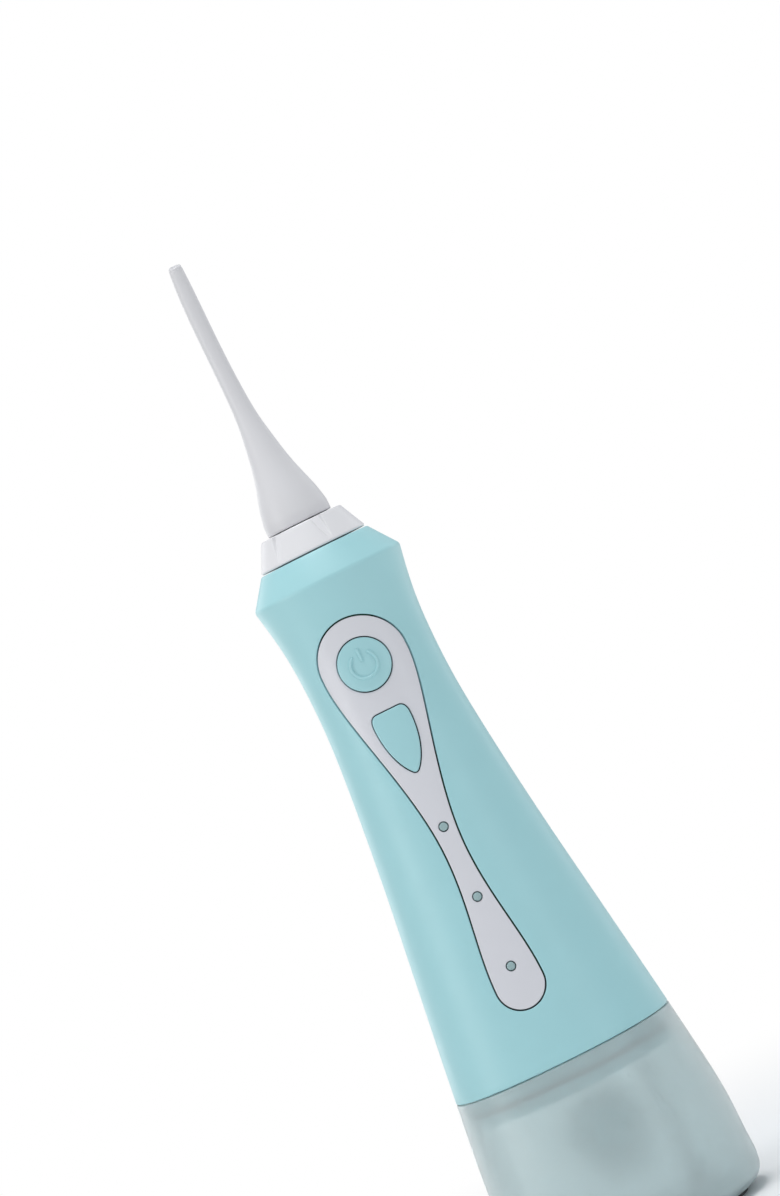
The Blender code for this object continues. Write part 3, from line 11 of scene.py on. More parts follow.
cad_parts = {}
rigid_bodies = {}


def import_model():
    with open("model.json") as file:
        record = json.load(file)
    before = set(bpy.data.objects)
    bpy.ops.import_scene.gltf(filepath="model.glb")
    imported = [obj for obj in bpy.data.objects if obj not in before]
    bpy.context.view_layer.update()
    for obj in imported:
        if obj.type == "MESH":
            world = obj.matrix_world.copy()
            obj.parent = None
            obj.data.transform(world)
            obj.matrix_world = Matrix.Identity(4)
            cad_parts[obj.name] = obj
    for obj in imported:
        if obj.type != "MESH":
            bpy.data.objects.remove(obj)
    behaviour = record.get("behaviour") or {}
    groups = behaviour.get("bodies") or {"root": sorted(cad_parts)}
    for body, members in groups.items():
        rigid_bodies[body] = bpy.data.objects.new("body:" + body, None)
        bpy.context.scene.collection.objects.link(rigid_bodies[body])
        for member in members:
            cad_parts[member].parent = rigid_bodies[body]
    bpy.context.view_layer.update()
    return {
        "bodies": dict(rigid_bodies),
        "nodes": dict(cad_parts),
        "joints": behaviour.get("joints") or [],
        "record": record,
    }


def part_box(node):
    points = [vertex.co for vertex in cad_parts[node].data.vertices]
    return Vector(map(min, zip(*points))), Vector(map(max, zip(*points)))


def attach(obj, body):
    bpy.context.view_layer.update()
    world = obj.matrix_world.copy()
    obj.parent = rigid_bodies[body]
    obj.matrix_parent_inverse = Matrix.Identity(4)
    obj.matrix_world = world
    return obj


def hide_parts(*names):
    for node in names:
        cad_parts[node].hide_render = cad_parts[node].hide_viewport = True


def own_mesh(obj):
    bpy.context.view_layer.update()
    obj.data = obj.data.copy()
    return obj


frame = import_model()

# Lengths are in millimetres until a mesh is made. The control panel faces -Y and +Z is up.
MM = 0.001
TURN = 2 * math.pi
WALL = 1.8
# Gap between neighbouring casing pieces, and round the control panel.
SEAM = 0.3
PANEL_SEAM = 0.42
# Unrolled distance across the casing for each radian round it.
UNROLL = 20.0
# Spacing of the rows and columns of points on the casing.
ROW_STEP = 1.6
COLUMN_STEP = 0.8
# Points nearer than this are joined after a Boolean.
WELD = 0.002
# For each axis: the two axes of the plane across it, then the axis itself.
PLANE_OF = {"X": (1, 2, 0), "Y": (0, 2, 1), "Z": (0, 1, 2)}

# The body's section: depth over width and superellipse power, at the foot and at the shoulder.
DEPTH_RATIO = (0.87, 0.95)
POWER = (2.3, 2.0)
SHOULDER_FILLET = 2.2
TOP_FILLET = 0.8


# ---------------------------------------------------------------- readings from the frame


def span(node):
    """Lowest and highest corner of a CAD node, in millimetres."""
    low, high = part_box(node)
    return np.array(low) / MM, np.array(high) / MM


def middle(node):
    low, high = span(node)
    return (low + high) / 2


def node_points(node):
    return np.array([v.co for v in frame["nodes"][node].data.vertices], float) / MM


def joint(name):
    return next(j for j in frame["joints"] if j["name"] == name)


def spline(xs, ys):
    """A natural cubic spline through points, as a function."""
    xs = np.asarray(xs, float)
    ys = np.asarray(ys, float)
    count = len(xs)
    gap = np.diff(xs)
    system = np.eye(count)
    right = np.zeros(count)
    for i in range(1, count - 1):
        system[i, i - 1 : i + 2] = gap[i - 1], 2 * (gap[i - 1] + gap[i]), gap[i]
        right[i] = 6 * ((ys[i + 1] - ys[i]) / gap[i] - (ys[i] - ys[i - 1]) / gap[i - 1])
    bend = np.linalg.solve(system, right)

    def value(x):
        i = np.clip(np.searchsorted(xs, x) - 1, 0, count - 2)
        a = (xs[i + 1] - x) / gap[i]
        b = (x - xs[i]) / gap[i]
        curve = (a**3 - a) * bend[i] + (b**3 - b) * bend[i + 1]
        return a * ys[i] + b * ys[i + 1] + curve * gap[i] ** 2 / 6

    return value


def ring_widths(node, side_y):
    """Height and half-width of each ring of a casing node's outer skin, read at its side."""
    mesh = frame["nodes"][node].data
    polygons = [tuple(p.vertices) for p in mesh.polygons]
    tree = BVHTree.FromPolygons([v.co for v in mesh.vertices], polygons)
    points = node_points(node)
    side = points[(abs(points[:, 1] - side_y) < 0.02) & (points[:, 0] > 0)]
    rings = []
    for z in np.unique(side[:, 2].round(2)):
        width = side[abs(side[:, 2] - z) < 0.02][:, 0].max()
        hits = []
        for nudge in (-0.03, 0.03):
            start = Vector((0.1, (side_y - 0.05) * MM, (z + nudge) * MM))
            place = tree.ray_cast(start, Vector((-1, 0, 0)))[0]
            hits.append(place.x / MM if place else 0.0)
        if abs(max(hits) - width) < 0.12:
            rings.append((z, width))
    return rings


TANK_RINGS = ring_widths("reservoir", 0.0)
CASING_RINGS = ring_widths("front_shell", -SEAM / 2)
BODY_RINGS = TANK_RINGS[:-1] + CASING_RINGS[:-1]
SHOULDER_Z, SHOULDER_WIDTH = BODY_RINGS[-1]
TOP_Z, TOP_RADIUS = CASING_RINGS[-1]
body_width = spline(*zip(*BODY_RINGS))


# ---------------------------------------------------------------- curves and loops


def rounded(points, radii, steps):
    """An open polyline with each inner corner turned into an arc."""
    points = [np.asarray(p, float) for p in points]
    radii = list(radii) if np.iterable(radii) else [radii] * (len(points) - 2)
    result = [points[0]]
    for k, radius in enumerate(radii, start=1):
        result += corner_arc(points[k - 1], points[k], points[k + 1], radius, steps)
    result.append(points[-1])
    return result


def corner_arc(before, corner, after, radius, steps):
    """Points of the arc that rounds one corner. The radius shrinks where a side is short."""
    back = before - corner
    ahead = after - corner
    back_length = np.linalg.norm(back)
    ahead_length = np.linalg.norm(ahead)
    back = back / back_length
    ahead = ahead / ahead_length
    opening = math.acos(float(np.clip(back @ ahead, -1, 1)))
    if radius <= 0 or opening > math.pi - 0.02:
        return [corner]
    reach = min(radius / math.tan(opening / 2), 0.45 * back_length, 0.45 * ahead_length)
    size = reach * math.tan(opening / 2)
    bisector = (back + ahead) / np.linalg.norm(back + ahead)
    centre = corner + bisector * size / math.sin(opening / 2)
    start = corner + back * reach - centre
    end = corner + ahead * reach - centre
    sweep = math.atan2(start[0] * end[1] - start[1] * end[0], start @ end)
    arc_points = []
    for i in range(steps + 1):
        c, s = math.cos(sweep * i / steps), math.sin(sweep * i / steps)
        arc_points.append(centre + np.array([start[0] * c - start[1] * s, start[0] * s + start[1] * c]))
    return arc_points


def rounded_loop(points, radius, steps):
    """A closed outline with every corner turned into an arc."""
    points = [np.asarray(p, float) for p in points]
    result = []
    for k in range(len(points)):
        result += corner_arc(points[k - 1], points[k], points[(k + 1) % len(points)], radius, steps)
    return result


def rectangle(low, high, radius, steps):
    """A closed rectangle with round corners."""
    return rounded_loop((low, (high[0], low[1]), high, (low[0], high[1])), radius, steps)


def bezier(start, handle, other_handle, end, steps):
    """Points of a cubic curve, without its last one."""
    t = np.arange(steps)[:, None] / steps
    corners = [np.asarray(p, float) for p in (start, handle, other_handle, end)]
    weights = ((1 - t) ** 3, 3 * t * (1 - t) ** 2, 3 * t * t * (1 - t), t**3)
    return list(sum(w * c for w, c in zip(weights, corners)))


def arc(centre, radii, start, end, steps):
    """Points of an elliptical arc, without its last one. Angles are in degrees."""
    angles = np.radians(start + (end - start) * np.arange(steps) / steps)
    return [
        np.array((centre[0] + radii[0] * math.cos(a), centre[1] + radii[1] * math.sin(a)))
        for a in angles
    ]


def mirrored(right):
    """A closed outline from its right half, which runs from the top point to the bottom point."""
    left = [np.array((-p[0], p[1])) for p in right[1:-1]]
    return [np.asarray(p, float) for p in right] + left[::-1]


def area(loop):
    loop = np.asarray(loop)
    after = np.roll(loop, -1, axis=0)
    return float((loop[:, 0] * after[:, 1] - loop[:, 1] * after[:, 0]).sum() / 2)


def grown(loop, distance):
    """A closed outline moved outwards by a distance, with mitred corners."""
    loop = np.asarray(loop, float)
    ahead = np.roll(loop, -1, axis=0) - loop
    ahead /= np.linalg.norm(ahead, axis=1)[:, None]
    behind = np.roll(ahead, 1, axis=0)
    sign = 1 if area(loop) > 0 else -1
    out_ahead = np.column_stack((ahead[:, 1], -ahead[:, 0])) * sign
    out_behind = np.column_stack((behind[:, 1], -behind[:, 0])) * sign
    share = 1 + (out_ahead * out_behind).sum(axis=1)
    return loop + (out_ahead + out_behind) / np.maximum(share, 0.3)[:, None] * distance


def evened(loop, step):
    """A closed outline with points at equal steps."""
    loop = np.asarray(loop, float)
    closed = np.vstack((loop, loop[:1]))
    lengths = np.linalg.norm(np.diff(closed, axis=0), axis=1)
    along = np.concatenate(([0], np.cumsum(lengths)))
    count = max(8, int(round(along[-1] / step)))
    places = np.arange(count) * along[-1] / count
    return np.column_stack([np.interp(places, along, closed[:, k]) for k in (0, 1)])


def inside(points, loop):
    """Which points lie inside a closed outline."""
    loop = np.asarray(loop)
    after = np.roll(loop, -1, axis=0)
    x, y = points[:, 0][:, None], points[:, 1][:, None]
    rise = after[:, 1] - loop[:, 1]
    rise = np.where(rise == 0, 1e-12, rise)
    crossing = (loop[:, 1] > y) != (after[:, 1] > y)
    left = x < loop[:, 0] + (y - loop[:, 1]) * (after[:, 0] - loop[:, 0]) / rise
    return (crossing & left).sum(axis=1) % 2 == 1


def nearness(points, loop):
    return np.sqrt(((points[:, None, :] - np.asarray(loop)[None]) ** 2).sum(axis=2)).min(axis=1)


def lattice(low, high, step):
    """Points of a triangular lattice in a rectangle."""
    rows = np.arange(low[1], high[1], step * 0.87)
    points = []
    for i, v in enumerate(rows):
        us = np.arange(low[0] + (i % 2) * step / 2, high[0], step)
        points.append(np.column_stack((us, np.full(len(us), v))))
    return np.vstack(points)


# ---------------------------------------------------------------- mesh makers


def meshed(name, points, faces, scale):
    """A mesh with its normals pointing out."""
    bm = bmesh.new()
    verts = [bm.verts.new(Vector(p) * scale) for p in points]
    for corners in faces:
        bm.faces.new([verts[i] for i in corners])
    bmesh.ops.recalc_face_normals(bm, faces=bm.faces)
    mesh = bpy.data.meshes.new(name)
    bm.to_mesh(mesh)
    bm.free()
    return mesh


def finished(name, points, faces, look, body, slot, stands_for=(), sharp_deg=40.0):
    """A piece from points in millimetres: shaded, painted, and riding on its body."""
    mesh = meshed(name, points, faces, MM)
    mesh.shade_smooth()
    mesh.set_sharp_from_angle(angle=math.radians(sharp_deg))
    mesh.materials.append(look)
    made = bpy.data.objects.new(name, mesh)
    bpy.context.scene.collection.objects.link(made)
    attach(made, body)
    if stands_for:
        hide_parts(*stands_for)
    return made


def stand_in(name, shape, node, sharp_deg=35.0, look=None):
    """A finished piece with the body, slot and (unless one is named) look of the node it replaces."""
    owner = frame["nodes"][node].parent
    body = next(key for key, empty in frame["bodies"].items() if empty == owner)
    slot = next(part["material_slot"] for part in frame["record"]["subparts"] if part["node"] == node)
    return finished(name, *shape, LOOKS[look or LOOK_OF_SLOT[slot]], body, slot, (node,), sharp_deg)


def solid(points, faces):
    """A helper object in millimetres for a Boolean."""
    made = bpy.data.objects.new("helper", meshed("helper", points, faces, 1.0))
    bpy.context.scene.collection.objects.link(made)
    return made


def merged(*shapes):
    """Points and faces of several closed shapes as one list."""
    points = []
    faces = []
    for shape_points, shape_faces in shapes:
        start = len(points)
        points += [tuple(p) for p in shape_points]
        faces += [tuple(i + start for i in f) for f in shape_faces]
    return points, faces


def baked(shapes, cutters):
    """Points and faces of a Boolean: the shapes are joined, then the cutters are taken away."""
    base = solid(*shapes[0])
    helpers = []
    for operation, group in (("UNION", shapes[1:]), ("DIFFERENCE", cutters)):
        for shape in group:
            helper = solid(*shape)
            helpers.append(helper)
            modifier = base.modifiers.new(operation, "BOOLEAN")
            modifier.operation = operation
            modifier.solver = "MANIFOLD"
            modifier.object = helper
    graph = bpy.context.evaluated_depsgraph_get()
    mesh = bpy.data.meshes.new_from_object(base.evaluated_get(graph))
    bm = bmesh.new()
    bm.from_mesh(mesh)
    bmesh.ops.remove_doubles(bm, verts=bm.verts, dist=WELD)
    bmesh.ops.dissolve_degenerate(bm, edges=bm.edges, dist=WELD)
    bm.verts.index_update()
    points = [v.co.copy() for v in bm.verts]
    faces = [tuple(v.index for v in f.verts) for f in bm.faces]
    bm.free()
    for helper in [base] + helpers:
        bpy.data.objects.remove(helper)
    return points, faces


def skin(rings, closed=False):
    """Points and faces from ring to ring. A ring of one point is a pole. Closed joins last to first."""
    points = []
    starts = []
    for ring in rings:
        starts.append(len(points))
        points += [tuple(p) for p in ring]
    faces = []
    steps = len(rings) if closed else len(rings) - 1
    for first in range(steps):
        second = (first + 1) % len(rings)
        here, there = len(rings[first]), len(rings[second])
        sides = max(here, there)
        for i in range(sides):
            j = (i + 1) % sides
            corners = (
                starts[first] + i * here // sides,
                starts[first] + j * here // sides,
                starts[second] + j * there // sides,
                starts[second] + i * there // sides,
            )
            faces.append(tuple(dict.fromkeys(corners)))
    return points, faces


def set_out(u, v, w, axis):
    """Points from their place in the plane across an axis (u and v) and along that axis (w)."""
    columns = (u, v, w)
    return np.column_stack([columns[PLANE_OF[axis].index(k)] for k in range(3)])


def spun(profile, axis, centre, sides, fillet=0.25):
    """A turned shape from (radius, height) points. It is a ring when no point is on the axis."""
    on_axis = any(r < 1e-6 for r, _ in profile)
    outline = rounded(profile, fillet, 4) if on_axis else rounded_loop(profile, fillet, 4)
    rings = []
    for radius, height in outline:
        count = sides if radius > 1e-6 else 1
        angles = np.arange(count) * TURN / sides
        u, v = radius * np.cos(angles), radius * np.sin(angles)
        rings.append(set_out(u, v, np.full(count, height), axis) + np.asarray(centre, float))
    return skin(rings, closed=not on_axis)


def slab(low, high, fillet, axis="Y"):
    """A block whose outline, seen along an axis, has round corners, and whose rims are rounded too."""
    u, v, w = PLANE_OF[axis]
    loop = rectangle((low[u], low[v]), (high[u], high[v]), fillet * 2, 4)
    return extruded(loop, low[w], high[w], min(fillet, (high[w] - low[w]) * 0.45), axis)


def extruded(loop, low, high, fillet, axis="Y", steps=3):
    """An outline run along an axis, with rounded rims and flat ends."""
    rows = [(fillet * (1 - math.sin(t)), low + fillet * (1 - math.cos(t))) for t in quarter(steps)]
    rows += [(fillet * (1 - math.sin(t)), high - fillet * (1 - math.cos(t))) for t in quarter(steps)[::-1]]
    rings = []
    for inset, height in rows:
        flat = grown(loop, -inset)
        rings.append(set_out(flat[:, 0], flat[:, 1], np.full(len(flat), height), axis))
    points, faces = skin(rings)
    count = len(loop)
    last = len(points) - count
    return points, faces + [tuple(range(count)), tuple(range(last, last + count))]


def quarter(steps):
    return [math.pi / 2 * i / steps for i in range(steps + 1)]


def swept(path, radii, sides, side_axis, flatten=1.0):
    """A round bar along a path, closed by poles. flatten squeezes it along side_axis."""
    path = np.asarray(path, float)
    rings = [[path[0]]]
    rings += [ring for ring in path_rings(path, radii, sides, side_axis, flatten)]
    rings.append([path[-1]])
    return skin(rings)


def path_rings(path, radii, sides, side_axis, flatten=1.0):
    path = np.asarray(path, float)
    radii = np.broadcast_to(radii, len(path))
    tangents = np.gradient(path, axis=0)
    tangents /= np.linalg.norm(tangents, axis=1)[:, None]
    angles = np.arange(sides) * TURN / sides
    rings = []
    for point, along, radius in zip(path, tangents, radii):
        u = np.cross(side_axis, along)
        u /= np.linalg.norm(u)
        v = np.cross(along, u) * flatten
        rings.append(point + radius * (np.outer(np.cos(angles), u) + np.outer(np.sin(angles), v)))
    return rings


def plate(outer, holes, field, place, thickness, edge, steps=3):
    """A curved plate with rounded front edges, as points and faces.

    outer and holes are closed outlines in the plate's own plane, field holds points between them, and
    place turns plane points and a depth below the surface into positions.
    """
    borders = [grown(outer, -edge)] + [grown(hole, edge) for hole in holes]
    keep = inside(field, borders[0]) & (nearness(field, borders[0]) > 0.25)
    for border in borders[1:]:
        keep &= ~inside(field, border) & (nearness(field, border) > 0.25)
    flat = [Vector(p) for border in borders for p in border] + [Vector(p) for p in field[keep]]
    edges = []
    start = 0
    for border in borders:
        count = len(border)
        edges += [(start + i, start + (i + 1) % count) for i in range(count)]
        start += count
    made, _, triangles, origins, _, _ = delaunay_2d_cdt(flat, edges, [], 0, 1e-7)
    plane = np.array([tuple(p) for p in made])
    index = {source: i for i, sources in enumerate(origins) for source in sources}
    centres = plane[np.array(triangles)].mean(axis=1)
    within = inside(centres, borders[0])
    for border in borders[1:]:
        within &= ~inside(centres, border)
    front = [tuple(t) for t, ok in zip(triangles, within) if ok]
    points = [tuple(p) for p in place(plane, np.zeros(len(plane)))]
    back_start = len(points)
    points += [tuple(p) for p in place(plane, np.full(len(plane), thickness))]
    faces = front + [tuple(i + back_start for i in t[::-1]) for t in front]
    start = 0
    for k, border in enumerate(borders):
        count = len(border)
        outwards = 1 if k == 0 else -1
        rows = [[index[start + i] for i in range(count)]]
        for t in quarter(steps)[1:]:
            ring = grown(border, outwards * edge * math.sin(t))
            first = len(points)
            points += [tuple(p) for p in place(ring, np.full(count, edge * (1 - math.cos(t))))]
            rows.append(list(range(first, first + count)))
        rows.append([i + back_start for i in rows[0]])
        for here, there in zip(rows, rows[1:]):
            for i in range(count):
                j = (i + 1) % count
                faces.append((here[i], here[j], there[j], there[i]))
        start += count
    used = sorted({i for f in faces for i in f})
    renumber = {old: new for new, old in enumerate(used)}
    return [points[i] for i in used], [tuple(renumber[i] for i in f) for f in faces]


# ---------------------------------------------------------------- the body's surface


def level(z):
    return np.clip(z / SHOULDER_Z, 0, 1)


def power_at(z):
    return POWER[0] + (POWER[1] - POWER[0]) * level(z)


def ratio_at(z):
    rise = np.clip((z - SHOULDER_Z) / (TOP_Z - SHOULDER_Z), 0, 1)
    return DEPTH_RATIO[0] + (DEPTH_RATIO[1] - DEPTH_RATIO[0]) * level(z) + (1 - DEPTH_RATIO[1]) * rise


def casing_meridian():
    """(half-width, height) up the casing: flare, rounded shoulder, bevel, rounded top edge, flat top."""
    foot = CASING_RINGS[0][0]
    count = int((SHOULDER_Z - foot) / ROW_STEP)
    heights = np.linspace(foot, SHOULDER_Z, count + 1)
    side = [(float(body_width(z)), z) for z in heights[:-1]]
    corners = [side[-1], (SHOULDER_WIDTH, SHOULDER_Z), (TOP_RADIUS, TOP_Z), (neck_radius(), TOP_Z)]
    bend = rounded(corners, (SHOULDER_FILLET, TOP_FILLET), 8)
    chamfer_start, chamfer_end = bend[9], bend[10]
    chamfer = [chamfer_start + (chamfer_end - chamfer_start) * i / 6 for i in range(1, 6)]
    return np.array(side[:-1] + bend[:10] + chamfer + bend[10:])


def neck_radius():
    """Radius of the round opening in the casing's flat top."""
    points = node_points("front_shell")
    rim = points[points[:, 2] > TOP_Z - 0.1]
    return float(np.hypot(rim[:, 0], rim[:, 1]).min())


MERIDIAN = casing_meridian()
ALONG = np.concatenate(([0], np.cumsum(np.linalg.norm(np.diff(MERIDIAN, axis=0), axis=1))))


def surface(plane, side):
    """The casing's surface from unrolled angle and distance up the meridian."""
    angle = plane[:, 0] / UNROLL
    width = np.interp(plane[:, 1], ALONG, MERIDIAN[:, 0])
    z = np.interp(plane[:, 1], ALONG, MERIDIAN[:, 1])
    root = 2 / power_at(z)
    x = width * np.sign(np.sin(angle)) * abs(np.sin(angle)) ** root
    y = width * ratio_at(z) * np.sign(np.cos(angle)) * abs(np.cos(angle)) ** root
    return np.column_stack((x, side * y, z))


def on_body(side, back_taper):
    """A place function for plates that follow the front (-1) or rear (1) of the casing."""

    def place(plane, depth):
        step = 0.05
        across = surface(plane + (step, 0), side) - surface(plane - (step, 0), side)
        upward = surface(plane + (0, step), side) - surface(plane - (0, step), side)
        normal = np.cross(across, upward) * -side
        normal /= np.linalg.norm(normal, axis=1)[:, None]
        if back_taper:
            # The wall thins where the shoulder and the top edge turn, so that its inner side can't fold.
            start = unrolled_height(SHOULDER_Z - 8)
            turn = np.clip((ALONG[-1] - plane[:, 1]) / (ALONG[-1] - start), 0, 1)
            depth = depth * (0.3 + 0.7 * turn)
        return surface(plane, side) - normal * depth[:, None]

    return place


def unrolled_height(z):
    rows = MERIDIAN[:, 1] < SHOULDER_Z - 3
    return np.interp(z, MERIDIAN[rows, 1], ALONG[rows])


def unrolled(loop):
    """Front-view (x, z) points in the unrolled plane."""
    loop = np.asarray(loop, float)
    width = body_width(loop[:, 1])
    sine = np.clip(abs(loop[:, 0]) / width, 0, 1) ** (power_at(loop[:, 1]) / 2)
    return np.column_stack((np.sign(loop[:, 0]) * np.arcsin(sine) * UNROLL, unrolled_height(loop[:, 1])))


def front_depth(x, z):
    """How far the body's surface stands in front of its axis."""
    width = body_width(z)
    power = power_at(z)
    return width * ratio_at(z) * (1 - (abs(x) / width) ** power) ** (1 / power)


def on_front(lift=None):
    """A place function in front view: plane points are (x, z), and lift raises them off the body."""

    def place(plane, depth):
        x, z = plane[:, 0], plane[:, 1]
        step = 0.05
        y = -front_depth(x, z)
        slope_x = -(front_depth(x + step, z) - front_depth(x - step, z)) / (2 * step)
        slope_z = -(front_depth(x, z + step) - front_depth(x, z - step)) / (2 * step)
        normal = np.column_stack((slope_x, -np.ones(len(x)), slope_z))
        normal /= np.linalg.norm(normal, axis=1)[:, None]
        rise = lift(plane) if lift else 0.0
        return np.column_stack((x, y, z)) + normal * (rise - depth)[:, None]

    return place


def on_plane(y):
    """A place function for a flat plate that faces +Y."""

    def place(plane, depth):
        return np.column_stack((plane[:, 0], y - depth, plane[:, 1]))

    return place


# ---------------------------------------------------------------- materials


def shader_of(material):
    return material.node_tree.nodes["Principled BSDF"]


def plastic(name, colour, roughness, mottle=0.025, grain=0.004, grain_size=0.18, subsurface=0.0):
    """Moulded plastic: faint cloudy colour, uneven polish and, unless grain is 0, a fine moulded grain."""
    made = bpy.data.materials.new(name)
    made.use_nodes = True
    nodes, links = made.node_tree.nodes, made.node_tree.links
    shader = shader_of(made)
    where = nodes.new("ShaderNodeTexCoord")

    cloud = noise(nodes, links, where, 9.0, 3.0)
    tint = nodes.new("ShaderNodeMix")
    tint.data_type = "RGBA"
    tint.inputs["A"].default_value = (*[c * (1 - mottle) for c in colour], 1)
    tint.inputs["B"].default_value = (*[min(c * (1 + mottle), 1) for c in colour], 1)
    links.new(cloud.outputs["Fac"], tint.inputs["Factor"])
    links.new(tint.outputs["Result"], shader.inputs["Base Color"])

    polish = noise(nodes, links, where, 7.0, 1.0)
    spread = nodes.new("ShaderNodeMapRange")
    spread.inputs["From Min"].default_value = 0.3
    spread.inputs["From Max"].default_value = 0.7
    spread.inputs["To Min"].default_value = roughness - 0.03
    spread.inputs["To Max"].default_value = roughness + 0.03
    links.new(polish.outputs["Fac"], spread.inputs["Value"])
    links.new(spread.outputs["Result"], shader.inputs["Roughness"])

    if grain > 0:
        fine = noise(nodes, links, where, grain_size, 2.0)
        bump = nodes.new("ShaderNodeBump")
        bump.inputs["Strength"].default_value = 0.5
        bump.inputs["Distance"].default_value = grain * MM
        links.new(fine.outputs["Fac"], bump.inputs["Height"])
        links.new(bump.outputs["Normal"], shader.inputs["Normal"])

    shader.inputs["IOR"].default_value = 1.47
    shader.inputs["Subsurface Weight"].default_value = subsurface
    shader.inputs["Subsurface Radius"].default_value = (0.004, 0.003, 0.003)
    shader.inputs["Subsurface Scale"].default_value = 0.6
    return made


def noise(nodes, links, where, size_mm, detail):
    """A noise texture whose blotches are about size_mm wide."""
    made = nodes.new("ShaderNodeTexNoise")
    made.inputs["Scale"].default_value = 1.0 / (size_mm * MM)
    made.inputs["Detail"].default_value = detail
    links.new(where.outputs["Object"], made.inputs["Vector"])
    return made


def frosted(name, colour, roughness, transmission):
    """Translucent moulded plastic, a little cloudy."""
    made = plastic(name, colour, roughness, mottle=0.02, grain=0.0)
    shader = shader_of(made)
    shader.inputs["Transmission Weight"].default_value = transmission
    shader.inputs["IOR"].default_value = 1.4
    return made


def metal(name, colour, roughness):
    """Machined metal: fine lines across Z and uneven polish."""
    made = plastic(name, colour, roughness, mottle=0.05, grain=0.0)
    shader = shader_of(made)
    shader.inputs["Metallic"].default_value = 1.0
    nodes, links = made.node_tree.nodes, made.node_tree.links
    where = nodes.new("ShaderNodeTexCoord")
    squeeze = nodes.new("ShaderNodeMapping")
    squeeze.inputs["Scale"].default_value = (1, 1, 12)
    links.new(where.outputs["Object"], squeeze.inputs["Vector"])
    lines = nodes.new("ShaderNodeTexNoise")
    lines.inputs["Scale"].default_value = 900.0
    lines.inputs["Detail"].default_value = 3.0
    links.new(squeeze.outputs["Vector"], lines.inputs["Vector"])
    bump = nodes.new("ShaderNodeBump")
    bump.inputs["Strength"].default_value = 0.25
    bump.inputs["Distance"].default_value = 0.00003
    links.new(lines.outputs["Fac"], bump.inputs["Height"])
    links.new(bump.outputs["Normal"], shader.inputs["Normal"])
    return made


# Colours are linear RGB. The other values are roughness, then the parameters of plastic() or frosted().
LOOKS = {
    "mint": plastic("mint_satin", (0.350, 0.625, 0.665), 0.40, mottle=0.02, subsurface=0.05),
    "mint_key": plastic("mint_key", (0.350, 0.620, 0.660), 0.32, mottle=0.02),
    "pale": plastic("pale_panel", (0.640, 0.648, 0.690), 0.32, mottle=0.008, grain=0.0),
    "white": plastic("white_nozzle", (0.64, 0.64, 0.66), 0.40, mottle=0.006, grain=0.0),
    "collar": plastic("white_collar", (0.70, 0.70, 0.72), 0.38, mottle=0.012, grain=0.0015),
    "inner_white": plastic("white_moulding", (0.75, 0.75, 0.76), 0.42),
    "grey": plastic("grey_moulding", (0.22, 0.23, 0.25), 0.5),
    "nylon": plastic("natural_nylon", (0.80, 0.78, 0.70), 0.42, mottle=0.04, subsurface=0.1),
    "rubber": plastic("dark_rubber", (0.055, 0.060, 0.065), 0.72, mottle=0.08, grain=0.02, grain_size=0.3),
    "mint_rubber": plastic("mint_rubber", (0.30, 0.55, 0.57), 0.62, mottle=0.03, grain=0.015, grain_size=0.3),
    "board": plastic("solder_mask", (0.02, 0.16, 0.07), 0.35, mottle=0.25, grain=0.01, grain_size=0.6),
    "wrap": plastic("cell_wrap", (0.05, 0.16, 0.42), 0.28, mottle=0.06, grain=0.01, grain_size=1.5),
    "tank": frosted("tank_plastic", (0.82, 0.93, 0.94), 0.34, 0.70),
    "clear": frosted("clear_plastic", (0.86, 0.93, 0.93), 0.30, 0.45),
    "lens": frosted("lamp_lens", (0.55, 0.78, 0.80), 0.10, 0.45),
    "steel": metal("bright_steel", (0.56, 0.57, 0.59), 0.28),
    "brass": metal("machined_brass", (0.72, 0.52, 0.22), 0.30),
}
LOOK_OF_SLOT = {
    "mint_shell": "mint",
    "pale_panel": "pale",
    "grey_plastic": "grey",
    "rubber": "rubber",
    "mint_rubber": "mint_rubber",
    "board_green": "board",
    "steel": "steel",
    "cell_wrap": "wrap",
    "white_plastic": "inner_white",
    "clear_plastic": "clear",
    "tank_plastic": "tank",
    "brass": "brass",
    "nylon": "nylon",
}


# ---------------------------------------------------------------- casing


PANEL_LOW, PANEL_HIGH = span("control_panel")
PANEL_HEAD_RADIUS = PANEL_HIGH[0] + SEAM / 2
PANEL_HEAD_Z = PANEL_HIGH[2] + SEAM / 2 - PANEL_HEAD_RADIUS
PANEL_FOOT = PANEL_LOW[2] - SEAM / 2
PANEL_NECK = np.array((3.08, 117.0))
PANEL_LOBE = np.array((6.9, 78.4))
PANEL_THICKNESS = 1.9
# Rounding of the edges of thin plates and of the keys, and how thick the keys are.
PLATE_EDGE = 0.22
KEY_EDGE = 0.45
KEY_THICKNESS = 1.8
MODE_KEY_Z = 150.0
# Edges that turn less than this many degrees are shaded smooth on the outer pieces.
SOFT = 40.0


def panel_outline():
    """A round head, a narrow neck and a long lower lobe."""
    head_end = np.array((PANEL_HEAD_RADIUS, PANEL_HEAD_Z - 1.4))
    right = arc((0, PANEL_HEAD_Z), (PANEL_HEAD_RADIUS,) * 2, 90, 0, 24)
    right += bezier(head_end, head_end - (0, 12.5), PANEL_NECK + (0, 20.0), PANEL_NECK, 60)
    right += bezier(PANEL_NECK, PANEL_NECK - (0, 14.6), PANEL_LOBE + (0, 11.8), PANEL_LOBE, 48)
    right += arc((0, PANEL_LOBE[1]), (PANEL_LOBE[0], PANEL_LOBE[1] - PANEL_FOOT), 0, -90, 16)
    return evened(mirrored(right + [(0, PANEL_FOOT)]), 0.75)


